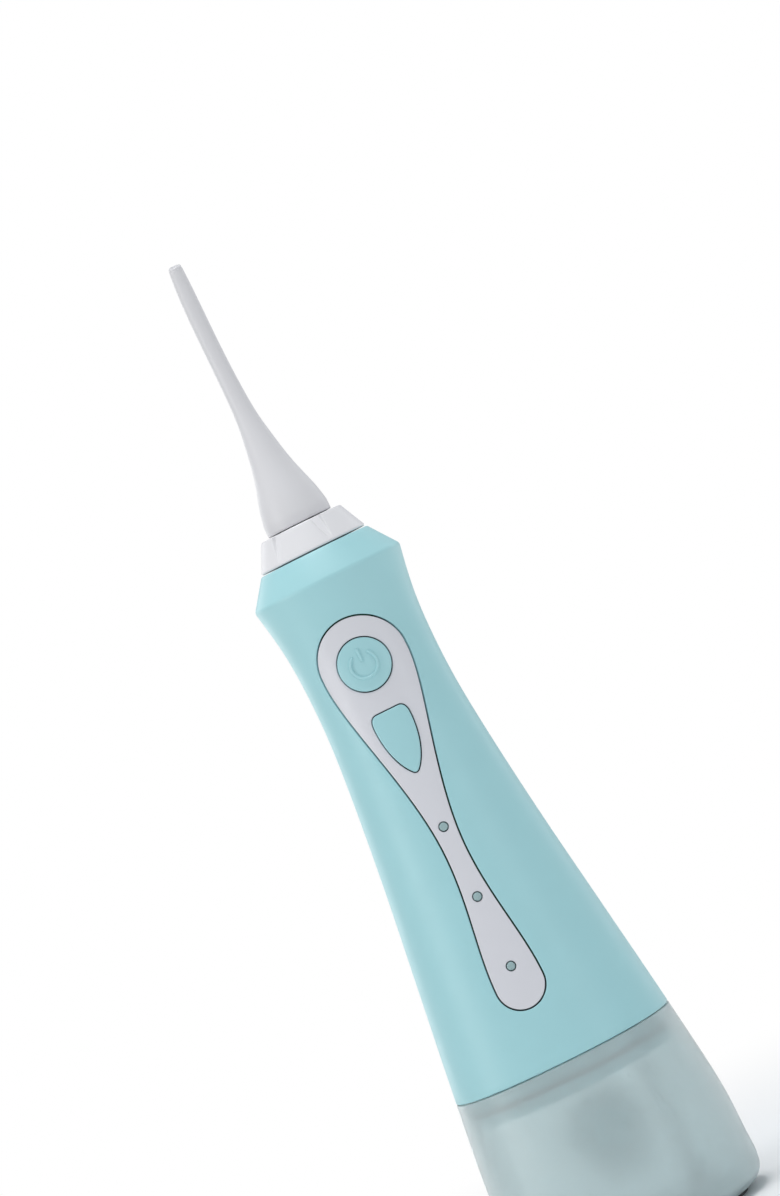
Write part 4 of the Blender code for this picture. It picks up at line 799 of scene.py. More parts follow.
def mode_outline():
    """A shield: nearly flat top, round corners, sides that curve down to a blunt tip."""
    low, high = span("mode_button")
    reach = high[0] + SEAM
    top, tip = high[2] + SEAM, low[2] - SEAM
    corner = np.array((reach, top - 3.5))
    right = [(0, top)] + bezier((3.4, top), (4.9, top - 0.1), (reach, top - 1.4), corner, 14)
    right += bezier(corner, corner - (0, 5.1), (4.3, top - 14.8), (0.8, tip + 0.3), 40)
    return evened(mirrored(right + [(0.8, tip + 0.3), (0, tip)]), 0.45)


def circle_loop(centre, radius, count=72):
    return np.array(arc(centre, (radius, radius), 0, 360, count))


def casing_field():
    """Interior points of a casing half: one row for each point of the meridian."""
    limit = math.pi / 2 * UNROLL - SEAM / 2
    columns = np.linspace(-limit, limit, int(2 * limit / COLUMN_STEP) + 1)[1:-1]
    grid = np.meshgrid(columns, ALONG[1:-1])
    return np.column_stack([g.ravel() for g in grid])


def casing_outline():
    """The unrolled rectangle of one casing half, with points where the field has its rows and columns."""
    limit = math.pi / 2 * UNROLL - SEAM / 2
    columns = np.linspace(-limit, limit, int(2 * limit / COLUMN_STEP) + 1)
    foot, top = ALONG[0], ALONG[-1]
    low = [(u, foot) for u in columns]
    right = [(limit, v) for v in ALONG[1:-1]]
    return np.array(low + right + [(u, top) for u in columns[::-1]] + [(-u, v) for u, v in right[::-1]])


def make_casing():
    opening = unrolled(grown(panel_outline(), PANEL_SEAM / 2))
    front = plate(casing_outline(), [opening], casing_field(), on_body(-1, True), WALL, PLATE_EDGE)
    stand_in("casing_front", front, "front_shell", SOFT)
    hole = circle_loop((0, 0), 4.3, 48)
    hole = hole + (0, unrolled_height(middle("charge_jack")[2]))
    rear = plate(casing_outline(), [hole], casing_field(), on_body(1, True), WALL, PLATE_EDGE)
    stand_in("casing_rear", rear, "rear_shell", SOFT)


def make_panel():
    outline = grown(panel_outline(), -PANEL_SEAM / 2)
    power = middle("power_button")
    holes = [circle_loop((0, power[2]), power_radius() + SEAM), mode_outline()]
    for name in ("upper", "middle", "lower"):
        holes.append(circle_loop((0, middle("light_pipe_" + name)[2]), 1.4, 32))
    field = lattice((PANEL_LOW[0], PANEL_LOW[2]), (PANEL_HIGH[0], PANEL_HIGH[2]), 0.75)
    made = plate(outline, holes, field, on_front(), PANEL_THICKNESS, PLATE_EDGE)
    stand_in("panel", made, "control_panel", SOFT)


def power_radius():
    low, high = span("power_button")
    return (high[0] - low[0]) / 2


def dome(centre, radius, rise, proud):
    """A lift function: proud of the body, with a crown that rises towards the centre."""

    def lift(plane):
        distance = np.hypot(plane[:, 0] - centre[0], plane[:, 1] - centre[1]) / radius
        return proud + rise * np.clip(1 - distance**2, 0, 1)

    return lift


def make_power_button():
    """A round key with a raised power symbol: an open ring and a bar."""
    z = middle("power_button")[2]
    radius = power_radius()
    lift = dome((0, z), radius, 0.25, 0.35)
    field = lattice((-8, z - 8), (8, z + 8), 0.5)
    key = plate(circle_loop((0, z), radius, 96), [], field, on_front(lift), KEY_THICKNESS, KEY_EDGE, 5)
    surface_place = on_front(lift)

    def ridge(points):
        flat = np.asarray(points)
        path = surface_place(flat, np.full(len(flat), 0.02))
        return swept(path, ridge_radii(len(flat)), 20, (0, 1, 0), 1.25)

    def ridge_radii(count):
        ends = np.minimum(np.arange(count), np.arange(count)[::-1])
        return 0.46 * np.sqrt(np.clip((ends + 0.35) / 3.0, 0, 1))

    ring = arc((0, z), (3.6, 3.6), 122, 418, 90)
    bar = [np.array((0.0, z + 0.9 + 3.9 * i / 30)) for i in range(31)]
    shape = merged(key, ridge(ring), ridge(bar), stem(z))
    stand_in("power_key", shape, "power_button", SOFT, "mint_key")


def stem(z):
    """The pin behind a key. It ends where the CAD's pins end."""
    end = span("mode_button")[1][1]
    return spun(((0, end - 2.6), (1.5, end - 2.6), (1.5, end), (0, end)), "Y", (0, 0, z), 48)


def make_mode_button():
    """The shield-shaped key."""
    low, high = span("mode_button")
    outline = grown(mode_outline(), -SEAM)
    centre = (0, (low[2] + high[2]) / 2 + 2)
    lift = dome(centre, 11.0, 0.3, 0.2)
    field = lattice((low[0], low[2]), (high[0], high[2]), 0.5)
    key = plate(outline, [], field, on_front(lift), KEY_THICKNESS, KEY_EDGE, 5)
    stand_in("mode_key", merged(key, stem(MODE_KEY_Z)), "mode_button", SOFT, "mint_key")


def make_lights():
    """Three lenses in the panel, each a light pipe with a domed front."""
    for name in ("upper", "middle", "lower"):
        node = "light_pipe_" + name
        low, high = span(node)
        z = (low[2] + high[2]) / 2
        crown = [(1.12 * math.sin(t), low[1] + 0.12 - 0.32 * math.cos(t)) for t in quarter(8)]
        crown[0] = (0, crown[0][1])
        flange = low[1] + 2.7
        profile = crown + [(1.12, flange), (1.7, flange), (1.7, high[1]), (0, high[1])]
        shape = spun(profile, "Y", (0, 0, z), 48, 0.08)
        stand_in("lens_" + name, shape, node, SOFT, "lens")


# ---------------------------------------------------------------- collar and nozzle


def make_collar():
    """The turning ring: a cone with six tapered notches, a sleeve below it and a bore for the nozzle."""
    low, high = span("tip_collar")
    top = high[2]
    foot = span("front_shell")[1][2] + 0.35
    sleeve = low[2]
    profile = [
        (15.2, foot),
        (15.45, foot + 0.45),
        (12.05, top - 0.3),
        (11.7, top),
        (4.2, top),
        (4.2, 209.2),
        (6.4, 209.2),
        (6.4, sleeve),
        (9.3, sleeve),
        (9.3, 201.1),
        (8.5, 201.1),
        (8.5, 202.7),
        (9.3, 202.7),
        (9.3, foot),
    ]
    outline = rounded_loop(profile, 0.25, 4)
    fine = []
    for k, point in enumerate(outline):
        after = outline[(k + 1) % len(outline)]
        outer = point[1] > foot + 0.3 and point[0] > 10
        pieces = max(1, int(np.linalg.norm(after - point) / 0.5)) if outer else 1
        fine += [point + (after - point) * i / pieces for i in range(pieces)]
    sides = 576
    angles = np.arange(sides) * TURN / sides
    rings = []
    for radius, height in fine:
        share = np.clip((height - foot - 0.8) / (top - foot - 0.8), 0, 1)
        depth = 1.3 * share * notch_window(angles, math.radians(2.0 + 5.5 * share))
        reach = np.full(sides, radius)
        if radius > 10.0:
            reach = radius - depth * min(1.0, (radius - 10.0) / 0.8)
        x, y = reach * np.cos(angles), reach * np.sin(angles)
        rings.append(np.column_stack((x, y, np.full(sides, height))))
    stand_in("collar", skin(rings, closed=True), "tip_collar", 50.0, "collar")


def notch_window(angles, half):
    """1 in a notch and 0 between notches, with a steep blend at both of its sides."""
    pitch = TURN / 6
    first = math.radians(-90 + 26.5)
    off = abs((angles - first + pitch / 2) % pitch - pitch / 2)
    t = np.clip((half - off) / math.radians(1.1) + 0.5, 0, 1)
    return t * t * (3 - 2 * t)


def nozzle_rings():
    """Height, centre and radius of each ring of the CAD nozzle's outer skin, from the foot flange up."""
    points = node_points("nozzle")
    foot = span("tip_collar")[1][2] + 0.2
    rings = []
    for z in np.unique(points[:, 2].round(2)):
        if z < foot:
            continue
        ring = points[abs(points[:, 2] - z) < 0.02]
        centre = (ring.max(axis=0) + ring.min(axis=0)) / 2
        radius = np.hypot(ring[:, 0] - centre[0], ring[:, 1] - centre[1]).max()
        if not rings or radius > 1.25:
            rings.append((z, centre[0], centre[1], radius))
    return np.array(rings)


def make_nozzle():
    """A trumpet-shaped foot that narrows to a slim shaft with a small hook at the tip, bored for water."""
    sides = 72
    rings = nozzle_rings()
    heights = np.linspace(rings[0, 0] + 0.25, rings[-1, 0] - 0.9, 150)
    centre_x, centre_y = (spline(rings[:, 0], rings[:, k]) for k in (1, 2))
    radius_at = spline(rings[1:-1, 0], rings[1:-1, 3])
    path = np.column_stack((centre_x(heights), centre_y(heights), heights))
    outer_radii = radius_at(np.clip(heights, rings[1, 0], None))
    tangent = path[-1] - path[-2]
    tangent /= np.linalg.norm(tangent)
    lip = radius_at(heights[-1])
    tip_rows = [(0.25 * i / 4, lip * (1 - 0.02 * i)) for i in range(1, 4)]
    tip_rows += [(0.55 + 0.35 * math.sin(t), lip - 0.12 - 0.4 * (1 - math.cos(t))) for t in quarter(5)]
    tip_path = np.array([path[-1] + tangent * rise for rise, _ in tip_rows])
    tip_radii = [r for _, r in tip_rows]
    whole = np.vstack((path, tip_path))
    outer = path_rings(whole, list(outer_radii) + tip_radii, sides, (1, 0, 0))
    mouth = whole[-1]
    bore_heights = np.linspace(heights[0] - 1.0, heights[-1] - 1.2, 60)[::-1]
    bore_path = np.column_stack((centre_x(bore_heights), centre_y(bore_heights), bore_heights))
    funnel = np.array([mouth - tangent * d for d in (0.05, 0.25, 0.6, 1.1)])
    funnel_radii = [lip - 0.6, lip - 0.7, 0.52, 0.5]
    bore_radii = np.clip(radius_at(np.clip(bore_heights, rings[1, 0], None)) * 0.38, 0.5, 1.1)
    inner_path = np.vstack((funnel, bore_path))[::-1]
    inner_radii = (funnel_radii + list(bore_radii))[::-1]
    inner = path_rings(inner_path, inner_radii, sides, (1, 0, 0))
    low = span("nozzle")[0][2]
    foot_radius = float(outer_radii[0])
    z = heights[0]
    shank = [(1.1, low), (3.2, low), (3.2, 198.0), (2.3, 198.0)]
    shank += [(2.3, 200.0), (3.2, 200.0), (3.2, z - 0.25)]
    shank += [(foot_radius - 0.3, z - 0.25), (foot_radius - 0.05, z - 0.1)]
    angles = np.arange(sides) * TURN / sides
    start = math.atan2(outer[0][0][1], outer[0][0][0])
    turn = math.copysign(1, np.cross(outer[0][0][:2], outer[0][1][:2]))
    below = []
    for radius, height in shank:
        around = start + turn * angles
        ring = (radius * np.cos(around), radius * np.sin(around), np.full(sides, height))
        below.append(np.column_stack(ring))
    shape = skin(below + outer + inner[::-1], closed=True)
    stand_in("jet_nozzle", shape, "nozzle", SOFT, "white")


# ---------------------------------------------------------------- reservoir


def oval(z, inset, sides, width=None):
    """A ring of the body's section at a height, drawn in by inset."""
    a = float(body_width(z) if width is None else width)
    b = a * float(ratio_at(z)) - inset
    a -= inset
    root = 2 / float(power_at(z))
    angles = np.arange(sides) * TURN / sides
    c, s = np.cos(angles), np.sin(angles)
    x = a * np.sign(c) * abs(c) ** root
    y = b * np.sign(s) * abs(s) ** root
    return np.column_stack((x, y, np.full(sides, z)))


def make_reservoir():
    """The open tank with a thin wall, the boss of its filler hole and the two ears of the cap's hinge."""
    foot, top = span("reservoir")[0][2], TANK_RINGS[-1][0]
    sides = 128
    corner = 5.0
    width = float(body_width(foot + corner))
    rings = [[(0, 0, foot)]]
    rings += [oval(foot, inset, sides, width) for inset in (24.0, 14.0, corner + 1.0)]
    for t in quarter(10)[1:]:
        z = foot + corner * (1 - math.cos(t))
        blend = float(body_width(z)) * 0.35 + width * 0.65
        rings.append(oval(z, corner * (1 - math.sin(t)), sides, blend))
    heights = np.linspace(foot + corner + 1.5, top - 0.5, 34)
    rings += [oval(z, 0.0, sides) for z in heights]
    rings += [oval(top - 0.15, 0.12, sides), oval(top, 0.45, sides), oval(top, WALL - 0.3, sides)]
    rings += [oval(top - 0.3, WALL, sides)]
    rings += [oval(z, WALL, sides) for z in heights[::-1]]
    for t in quarter(8)[::-1]:
        z = foot + WALL + (corner - WALL) * (1 - math.cos(t))
        rings.append(oval(z, WALL + (corner - WALL) * (1 - math.sin(t)), sides, width))
    rings += [oval(foot + WALL, inset, sides) for inset in (14.0, 24.0)] + [[(0, 0, foot + WALL)]]
    cap_z = middle("filler_gasket")[2]
    face = span("filler_gasket")[0][1] - 0.25
    hinge = np.array(joint("filler_cap_hinge")["pos_m"]) / MM
    boss = spun(((0, 27.2), (11.5, 27.2), (11.5, face), (0, face)), "Y", (0, 0, cap_z), 96, 0.4)
    root = 29.6
    ears = []
    for side in (-1, 1):
        x = sorted((side * 4.8, side * 6.8))
        loop = [(root, hinge[2] - 1.9), (hinge[1], hinge[2] - 2.0)]
        loop += arc((hinge[1], hinge[2]), (2.0, 2.0), -85, 90, 20) + [(root, hinge[2] + 2.0)]
        ears.append(extruded(loop, x[0], x[1], 0.25, "X"))
    bore = spun(((0, 20.0), (8.6, 20.0), (8.6, 36.0), (0, 36.0)), "Y", (0, 0, cap_z), 96, 0)
    pin_hole = spun(((0, -9.0), (1.0, -9.0), (1.0, 9.0), (0, 9.0)), "X", (0, hinge[1], hinge[2]), 40, 0)
    stand_in("tank_shell", baked([skin(rings), boss] + ears, [bore, pin_hole]), "reservoir")


def make_foot_pad():
    """A soft oval pad under the reservoir, with one shallow tread groove round its face."""
    width = span("foot_pad")[1][0]
    # Heights and half-widths: the grooved face first, then the rounded rim and the flat top.
    face = [(0.0, 0.0), (0.0, width - 6.2), (0.4, width - 5.8), (0.4, width - 4.6), (0.0, width - 4.2)]
    rim = [(0.0, width - 0.75), (0.1, width - 0.45), (0.35, width - 0.4), (0.8, width - 0.4), (0.8, 0.0)]
    rings = [[(0, 0, z)] if reach == 0 else oval_at(reach, z, 128) for z, reach in face + rim]
    stand_in("foot_cushion", skin(rings), "foot_pad", SOFT)


def oval_at(width, z, sides):
    """A ring of the body's lowest section with a stated half-width."""
    foot = span("reservoir")[0][2]
    return oval(foot, float(body_width(foot)) - width, sides) * (1, 1, 0) + (0, 0, z)


def make_filler_cap():
    """The round cap: crowned lid with a grip rib, plug, and an arm to the hinge."""
    low, high = span("filler_cap")
    z = middle("filler_gasket")[2]
    outside = high[1]
    hinge = np.array(joint("filler_cap_hinge")["pos_m"]) / MM
    plug = ((0, low[1]), (7.4, low[1]), (7.8, low[1] + 0.6), (7.8, 32.4), (11.5, 32.4))
    crown = ((11.5, outside - 0.6), (10.6, outside), (8.6, outside), (8.0, outside - 0.8), (0, outside - 0.8))
    lid = spun(plug + crown, "Y", (0, 0, z), 128, 0.35)
    rib = slab((-6.4, outside - 1.3, z - 1.3), (6.4, outside + 0.05, z + 1.3), 0.4)
    arm = slab((-4.3, 32.5, hinge[2]), (4.3, outside - 0.15, z - 8.0), 0.3)
    barrel = ((0, -4.4), (1.7, -4.4), (1.7, 4.4), (0, 4.4))
    knuckle = spun(barrel, "X", (0, hinge[1], hinge[2]), 48, 0.2)
    bore = spun(((0, -7.0), (1.0, -7.0), (1.0, 7.0), (0, 7.0)), "X", (0, hinge[1], hinge[2]), 40, 0)
    stand_in("cap_lid", baked([lid, rib, arm, knuckle], [bore]), "filler_cap")


# ---------------------------------------------------------------- charging port


def make_port():
    """A raised rounded pad round the charging hole, and the soft cover with its strap and grip tab."""
    outside = span("port_cover")[1][1]
    jack_z = middle("charge_jack")[2]
    pad_face = 27.6
    pad_low, pad_high = (-7.0, 66.0), (7.0, 80.6)
    pad_loop = evened(rectangle(pad_low, pad_high, 3.0, 10), 0.5)
    hole = circle_loop((0, jack_z), 3.9, 64)
    field = lattice(pad_low, pad_high, 0.7)
    pad = plate(pad_loop, [hole], field, on_plane(pad_face), 3.9, 0.5, 4)
    finished("port_surround", *pad, LOOKS["mint"], "handle", "mint_shell")

    hinge = np.array(joint("port_cover_hinge")["pos_m"]) / MM
    loop = evened(rectangle((-6.3, 66.6), (6.3, 78.4), 2.7, 10), 0.5)
    flap = extruded(loop, pad_face + 0.3, outside, 0.5, "Y", 5)
    plug = rod(3.3, 26.3, 28.4, centre=(0, 0, jack_z), fillet=0.3)
    strap = slab((-3.0, pad_face + 0.35, 77.6), (3.0, outside - 0.35, hinge[2]), 0.25)
    barrel = ((0, -3.1), (0.74, -3.1), (0.74, 3.1), (0, 3.1))
    knuckle = spun(barrel, "X", (0, hinge[1], hinge[2]), 32, 0.15)
    tab = slab((-3.2, outside - 1.0, 67.6), (3.2, outside + 0.35, 68.9), 0.3)
    stand_in("port_flap", baked([flap, plug, strap, knuckle, tab], []), "port_cover")


# ---------------------------------------------------------------- pieces inside the handle


# Turned pieces: name, the CAD node whose outline it takes, the axis and the rounding of its edges.
TURNED = (
    ("cell_left", "battery_cell_left", "Z", 0.6),
    ("cell_right", "battery_cell_right", "Z", 0.6),
    ("hinge_rod", "cap_hinge_pin", "X", 0.2),
    ("jack_body", "charge_jack", "Y", 0.2),
    ("axle", "gear_axle", "Y", 0.15),
    ("valve_body", "valve_head", "Z", 0.3),
    ("seat", "nozzle_seat", "Z", 0.3),
    ("shank_ring", "nozzle_o_ring", "Z", 0.45),
    ("plunger_ring", "piston_seal", "Z", 0.4),
    ("lid_gasket", "filler_gasket", "Y", 0.2),
    ("rotor", "motor_rotor", "Z", 0.3),
    ("rod_pin", "wrist_pin", "Y", 0.15),
)
SCREWS = (
    ("screw_board_low", "board_screw_1"),
    ("screw_board_high", "board_screw_2"),
    ("screw_pump_left", "pump_screw_left"),
    ("screw_pump_right", "pump_screw_right"),
)
# Angle of the half-plane that cuts a turned node, so that it misses the node's own edges.
SLICE = 0.013
# Places that several pieces inside the handle share.
BOARD_SCREWS_Z = (94.0, 134.0)
CRANK_Z = 150.5
ECCENTRIC_Z = 152.5
WRIST_Z = 166.5
MOTOR_Y = 7.0
PINION_TEETH = 8
GEAR_TEETH = 32
PUMP_INLET_Z = 179.6
PUMP_SCREW = (7.6, 175.0)
TUBE_FOOT = (18.0, 6.0)

def meridian_of(node, axis):
    """A turned CAD node's centre and its (radius, height) outline where a half-plane cuts its mesh."""
    order = PLANE_OF[axis]
    centre = middle(node)
    centre[order[2]] = 0.0
    placed = (node_points(node) - centre)[:, order].round(3)
    points, where = np.unique(placed, axis=0, return_inverse=True)
    where = where.ravel()
    along = points[:, 0] * math.cos(SLICE) + points[:, 1] * math.sin(SLICE)
    across = points[:, 1] * math.cos(SLICE) - points[:, 0] * math.sin(SLICE)
    spots = {}
    links = {}
    for polygon in frame["nodes"][node].data.polygons:
        corners = [int(where[i]) for i in polygon.vertices]
        cuts = []
        for a, b in zip(corners, corners[1:] + corners[:1]):
            if (across[a] > 0) != (across[b] > 0):
                edge = (min(a, b), max(a, b))
                share = across[edge[0]] / (across[edge[0]] - across[edge[1]])
                spot = [v[edge[0]] + (v[edge[1]] - v[edge[0]]) * share for v in (along, points[:, 2])]
                if spot[0] > 1e-3:
                    spots[edge] = np.array(spot)
                    cuts.append(edge)
        if len(cuts) == 2:
            links.setdefault(cuts[0], []).append(cuts[1])
            links.setdefault(cuts[1], []).append(cuts[0])
    ends = sorted(edge for edge, others in links.items() if len(others) == 1)
    chain = [ends[0] if ends else min(links)]
    while True:
        ahead = [edge for edge in links[chain[-1]] if edge not in chain]
        if not ahead:
            break
        chain.append(ahead[0])
    outline = straightened([spots[edge] for edge in chain], closed=not ends)
    pairs = np.column_stack((np.hypot(points[:, 0], points[:, 1]), points[:, 2]))
    rings = np.unique(pairs.round(2), axis=0)
    corners = [rings[np.linalg.norm(rings - point, axis=1).argmin()] for point in outline]
    if ends:
        poles = [ring for ring in rings if ring[0] < 0.02]
        for place, end in ((0, outline[0]), (len(corners) + 1, outline[-1])):
            near = [pole for pole in poles if abs(pole[1] - end[1]) < 1.0]
            height = min(near, key=lambda pole: abs(pole[1] - end[1]))[1] if near else end[1]
            corners.insert(place, np.array((0.0, height)))
    kept = [corners[0]]
    for corner in corners[1:]:
        if np.linalg.norm(corner - kept[-1]) > 0.02:
            kept.append(corner)
    if not ends and np.linalg.norm(kept[0] - kept[-1]) < 0.02:
        kept.pop()
    return centre, kept


def straightened(points, closed):
    """An outline without the points that lie on a straight line between their neighbours."""
    tolerance = 0.004
    points = list(points)
    k = 0 if closed else 1
    while k < len(points) - (0 if closed else 1):
        before, here, after = points[k - 1], points[k], points[(k + 1) % len(points)]
        chord = after - before
        length = np.linalg.norm(chord)
        step = here - before
        off = abs(chord[0] * step[1] - chord[1] * step[0]) / length if length > 1e-6 else 0.0
        if off < tolerance or np.linalg.norm(step) < 1e-3:
            points.pop(k)
            k = max(k - 1, 0 if closed else 1)
        else:
            k += 1
    return points


def make_turned():
    """The pieces that are turned shapes, the screws with their sockets, the slotted strainer and the ball."""
    for name, node, axis, fillet in TURNED:
        centre, outline = meridian_of(node, axis)
        stand_in(name, spun(outline, axis, centre, 96, fillet), node)
    for name, node in SCREWS:
        centre, outline = meridian_of(node, "Y")
        head = span(node)[0][1]
        around = np.arange(6) * TURN / 6
        socket = [(centre[0] + 0.87 * math.cos(a), centre[2] + 0.87 * math.sin(a)) for a in around]
        hexagon = extruded(socket, head - 0.5, head + 0.78, 0.0, "Y", 1)
        stand_in(name, baked([spun(outline, "Y", centre, 64, 0.12)], [hexagon]), node)
    centre, outline = meridian_of("inlet_filter", "Z")
    low, high = span("inlet_filter")
    grooves = []
    slot = ((3.0, -0.3), (4.2, -0.3), (4.2, 0.3), (3.0, 0.3))
    for angle in np.arange(16) * TURN / 16:
        c, s = math.cos(angle), math.sin(angle)
        corners = [(u * c - v * s, u * s + v * c) for u, v in slot]
        loop = np.array(corners) + centre[:2]
        grooves.append(extruded(loop, low[2] + 0.9, high[2] - 0.9, 0.0, "Z", 1))
    stand_in("strainer", baked([spun(outline, "Z", centre, 96, 0.4)], grooves), "inlet_filter")
    ball = middle("outlet_ball")
    radius = span("outlet_ball")[1][2] - ball[2]
    profile = [(radius * math.sin(t), -radius * math.cos(t)) for t in np.linspace(0, math.pi, 33)]
    profile[0], profile[-1] = (0, -radius), (0, radius)
    stand_in("ball", spun(profile, "Z", ball, 64, 0), "outlet_ball")


def make_spring():
    """A coil of wire with four turns, filling the CAD spring's height."""
    low, high = span("outlet_spring")
    wire, turns = 0.2, 4
    coil = high[0] - wire
    share = np.linspace(0, 1, turns * 48 + 1)
    height = low[2] + wire + (high[2] - low[2] - 2 * wire) * share
    around = TURN * turns * share
    path = np.column_stack((coil * np.cos(around), coil * np.sin(around), height))
    made = stand_in("spring", swept(path, wire, 16, (0, 0, 1)), "outlet_spring")
    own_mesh(made)


def open_ring(node, axis, centre, thickness, gap_deg):
    """A flat retaining ring with a gap and round edges, between the CAD node's own radii and heights."""
    order = PLANE_OF[axis]
    points = (node_points(node) - centre)[:, order]
    radii = np.hypot(points[:, 0], points[:, 1])
    low, high = points[:, 2].min(), points[:, 2].max()
    section = rectangle((radii.min(), low), (radii.max(), high), thickness, 4)
    rings = []
    for angle in np.radians(np.linspace(gap_deg / 2, 360 - gap_deg / 2, 97) - 90):
        ring = [(r * math.cos(angle), r * math.sin(angle), h) for r, h in section]
        rings.append([[p[order.index(k)] + centre[k] for k in range(3)] for p in ring])
    points, faces = skin(rings)
    count = len(section)
    return points, faces + [tuple(range(count)), tuple(range(len(points) - count, len(points)))]


def make_clips():
    stand_in("clip_axle", open_ring("axle_clip", "Y", np.array((0, 0, CRANK_Z)), 0.12, 40), "axle_clip")
    stand_in("clip_collar", open_ring("collar_clip", "Z", np.zeros(3), 0.25, 40), "collar_clip")


def rod(radius, low, high, axis="Y", centre=(0, 0, 0), fillet=0.0, sides=64):
    return spun(((0, low), (radius, low), (radius, high), (0, high)), axis, centre, sides, fillet)


def rounded_sheet(low, high, corner, fillet):
    """A sheet that faces Y, with round corners."""
    loop = rectangle((low[0], low[2]), (high[0], high[2]), corner, 8)
    return extruded(loop, low[1], high[1], fillet)


def make_electronics():
    """The rubber membrane with its two domes, the board, its two switches and its three lamps."""
    low, high = span("button_membrane")
    keys = (middle("power_button")[2], MODE_KEY_Z)
    profile = ((0, low[1]), (2.2, low[1]), (3.0, -13.1), (0, -13.1))
    domes = [spun(profile, "Y", (0, 0, z), 64, 0.25) for z in keys]
    sheet = rounded_sheet((low[0], -13.4, low[2]), high, 2.5, 0.2)
    stand_in("membrane", baked([sheet] + domes, []), "button_membrane")
    low, high = span("circuit_board")
    face = -11.8
    holes = [rod(1.2, -15.0, -9.0, centre=(0, 0, z)) for z in BOARD_SCREWS_Z]
    board = rounded_sheet((low[0], face, low[2]), high, 1.5, 0.1)
    stand_in("board", baked([board], holes), "circuit_board")
    for name, z in zip(("power", "mode"), keys):
        base = slab((-3.0, face - 0.6, z - 3.0), (3.0, face - 0.02, z + 3.0), 0.12)
        finished("switch_" + name, *base, LOOKS["steel"], "handle", "board_green")
    for name in ("upper", "middle", "lower"):
        z = middle("light_pipe_" + name)[2]
        lamp = slab((-0.8, face - 0.8, z - 0.8), (0.8, face - 0.02, z + 0.8), 0.15)
        finished("lamp_" + name, *lamp, LOOKS["inner_white"], "handle", "board_green")


def make_frame():
    """The spine plate with its cradle, shelves and bosses."""
    low = span("inner_frame")[0]
    back = -7.0
    solids = [
        rounded_sheet((-10.0, -8.6, low[2]), (10.0, back, 189.5), 2.0, 0.3),
        slab((-11.7, back - 0.8, 120.0), (11.7, 6.3, 130.0), 0.4),
        slab((-9.0, back - 0.8, 109.7), (9.0, 13.0, 110.7), 0.3, axis="Z"),
        slab((-9.5, back - 0.8, 188.1), (9.5, 8.0, 190.8), 0.4, axis="Z"),
        rod(2.8, back - 0.8, -4.2, centre=(0, 0, CRANK_Z), fillet=0.3),
    ]
    holes = [
        rod(10.5, 115.0, 135.0, "Z", (0, MOTOR_Y, 0), 0, 128),
        rod(6.6, 186.0, 193.0, "Z", (0, 0, 0), 0, 128),
        rod(1.55, -12.0, -1.0, centre=(0, 0, CRANK_Z)),
    ]
    for z in BOARD_SCREWS_Z:
        solids.append(rod(2.4, low[1], -8.0, centre=(0, 0, z), fillet=0.2))
        holes.append(rod(1.2, -15.0, -3.0, centre=(0, 0, z)))
    for side in (-1, 1):
        holes.append(rod(1.2, -12.0, -3.0, centre=(side * PUMP_SCREW[0], 0, PUMP_SCREW[1])))
    stand_in("spine", baked(solids, holes), "inner_frame")


# ---------------------------------------------------------------- motor, gears and pump


def can_ring(inset, z):
    """The motor's section: a circle with two flats that face -Y and +Y."""
    sides = 144
    radius, flat = 10.2 - inset, 7.7 - inset
    angles = np.arange(sides) * TURN / sides
    y = np.clip(radius * np.sin(angles), -flat, flat)
    return np.column_stack((radius * np.cos(angles), MOTOR_Y + y, np.full(sides, z)))


def make_motor():
    low, high = span("motor_can")
    foot, mouth, wall = low[2], high[2], 0.7
    rings = [[(0, MOTOR_Y, foot)]]
    rings += [can_ring(1.2 * (1 - math.sin(t)), foot + 1.2 * (1 - math.cos(t))) for t in quarter(5)]
    rings += [can_ring(0.0, mouth - 0.15), can_ring(0.15, mouth), can_ring(wall, mouth)]
    rings += [can_ring(wall, foot + 1.3), can_ring(wall + 0.5, foot + 0.8), [(0, MOTOR_Y, foot + 0.8)]]
    stand_in("can", skin(rings), "motor_can")
    low, high = span("motor_end_cap")
    bottom, top = low[2], high[2]
    edges = ((0.25, bottom), (0.0, bottom + 0.25), (0.0, top - 0.4), (0.4, top))
    rings = [can_ring(inset, z) for inset, z in edges]
    hole = rod(1.4, bottom - 1.0, top + 1.0, "Z", (0, MOTOR_Y, 0))
    cap = skin([[(0, MOTOR_Y, bottom)]] + rings + [[(0, MOTOR_Y, top)]])
    stand_in("end_cap", baked([cap], [hole]), "motor_end_cap")


